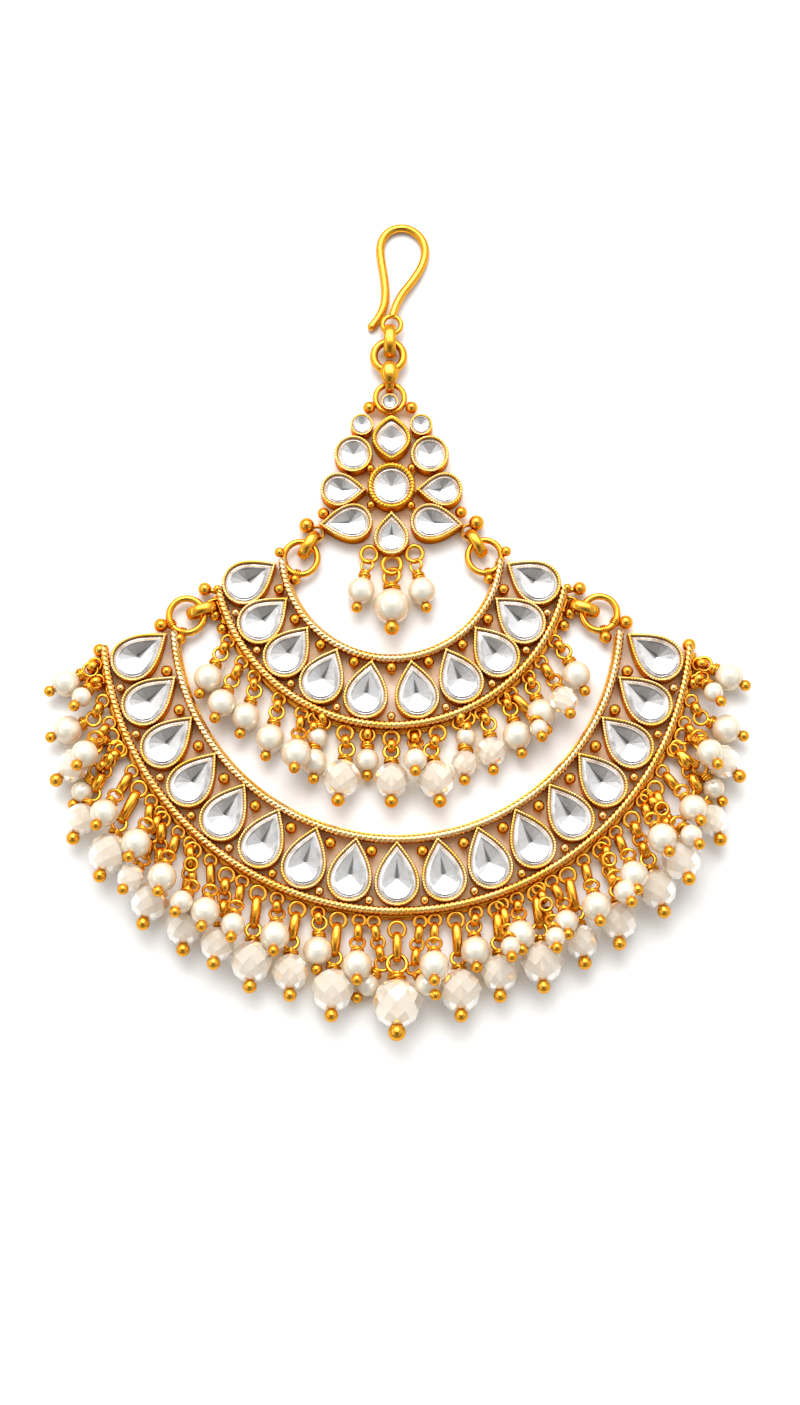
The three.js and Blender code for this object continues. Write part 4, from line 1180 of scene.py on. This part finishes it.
# The eye, collar, end ball and link, as in the drops above, and each loop's outer radius,
# wire and how far it lies inside the others.
BIG_WIRES = (1.42, 0.33, 0.95, 2.55, 1.05, (0.36, 1.3, 6.4))
SMALL_WIRES = (1.35, 0.28, 1.1, 2.35, 0.88, (0.34, 1.2, 5.0))
BIG_LOOP, SMALL_LOOP = (1.52, 0.33, 0), (1.22, 0.29, 0.5)
BIG_FROM = 2.4  # a crystal of more than this radius has big wires
HIGHEST = 7.6  # no bead's centre lies higher than this


def rest_height(at, radius, laid):
    height = radius
    for other, size, z in laid:
        apart = np.linalg.norm((at - other)[:2])
        if apart < radius + size:
            height = max(height, z + math.sqrt((radius + size) ** 2 - apart ** 2))
    return min(height, HIGHEST)


# %% Lay one side of a fringe
def lay_fringe(centre, rows, side, loop_radius):
    """Wires and beads of one side, each marked with its loop's angle."""
    laid, out = [], []
    for loop, left, right, distance, radius, swing, kinds in rows:
        angle, kind = (left, kinds[0]) if side < 0 else (right, kinds[-1])
        if angle is None:
            continue
        at = on_arc(centre, side * angle, distance)
        at[2] = rest_height(at, radius, laid)
        laid.append((at.copy(), radius, at[2]))
        at[:2] += (eye_point[:2] - at[:2]) * (at[2] - METAL_HEIGHT) / (eye_point[2] - METAL_HEIGHT)
        big = kind == C and radius > BIG_FROM
        outer, wire, inwards = BIG_LOOP if big else SMALL_LOOP
        loop_at = on_arc(centre, side * loop, loop_radius - inwards, 1.5)
        parts = [ring(loop_at, outer, wire, steps=28, sides=10)]
        parts += hang(loop_at, at, radius, swing, side, *(BIG_WIRES if big else SMALL_WIRES))
        a = math.radians(swing) * side
        along = vec(math.sin(a), -math.cos(a), 0.2)
        bead = crystal_bead(at, radius, along) if kind == C else [pearl_bead(at, radius, along)]
        out.append((loop, kind, parts, bead))
    return out


def hang_fringe(name, drops):
    gold_piece(f"{name}_wires", [p for d in drops for p in d[2]], name, sharp=50)
    for kind, label in ((P, "pearls"), (C, "crystals")):
        beads = [p for d in drops if d[1] == kind for p in d[3]]
        if beads:
            bead_piece(f"{name}_{label}", beads, name, kind)


SPLIT = 35  # the lower fringe's inner and outer parts meet at this angle
for side, word in SIDES:
    drops = lay_fringe(LOWER, LOWER_ROWS, side, 48.0)
    hang_fringe(f"lower_fringe_{word}_inner", [d for d in drops if d[0] < SPLIT])
    hang_fringe(f"lower_fringe_{word}_outer", [d for d in drops if d[0] >= SPLIT])
    hang_fringe(f"upper_fringe_{word}", lay_fringe(UPPER, UPPER_ROWS, side, 29.65))
largest = max(made, key=made.get)
print("pieces:", len(made), "triangles:", sum(made.values()), "largest:", largest,
      made[largest])
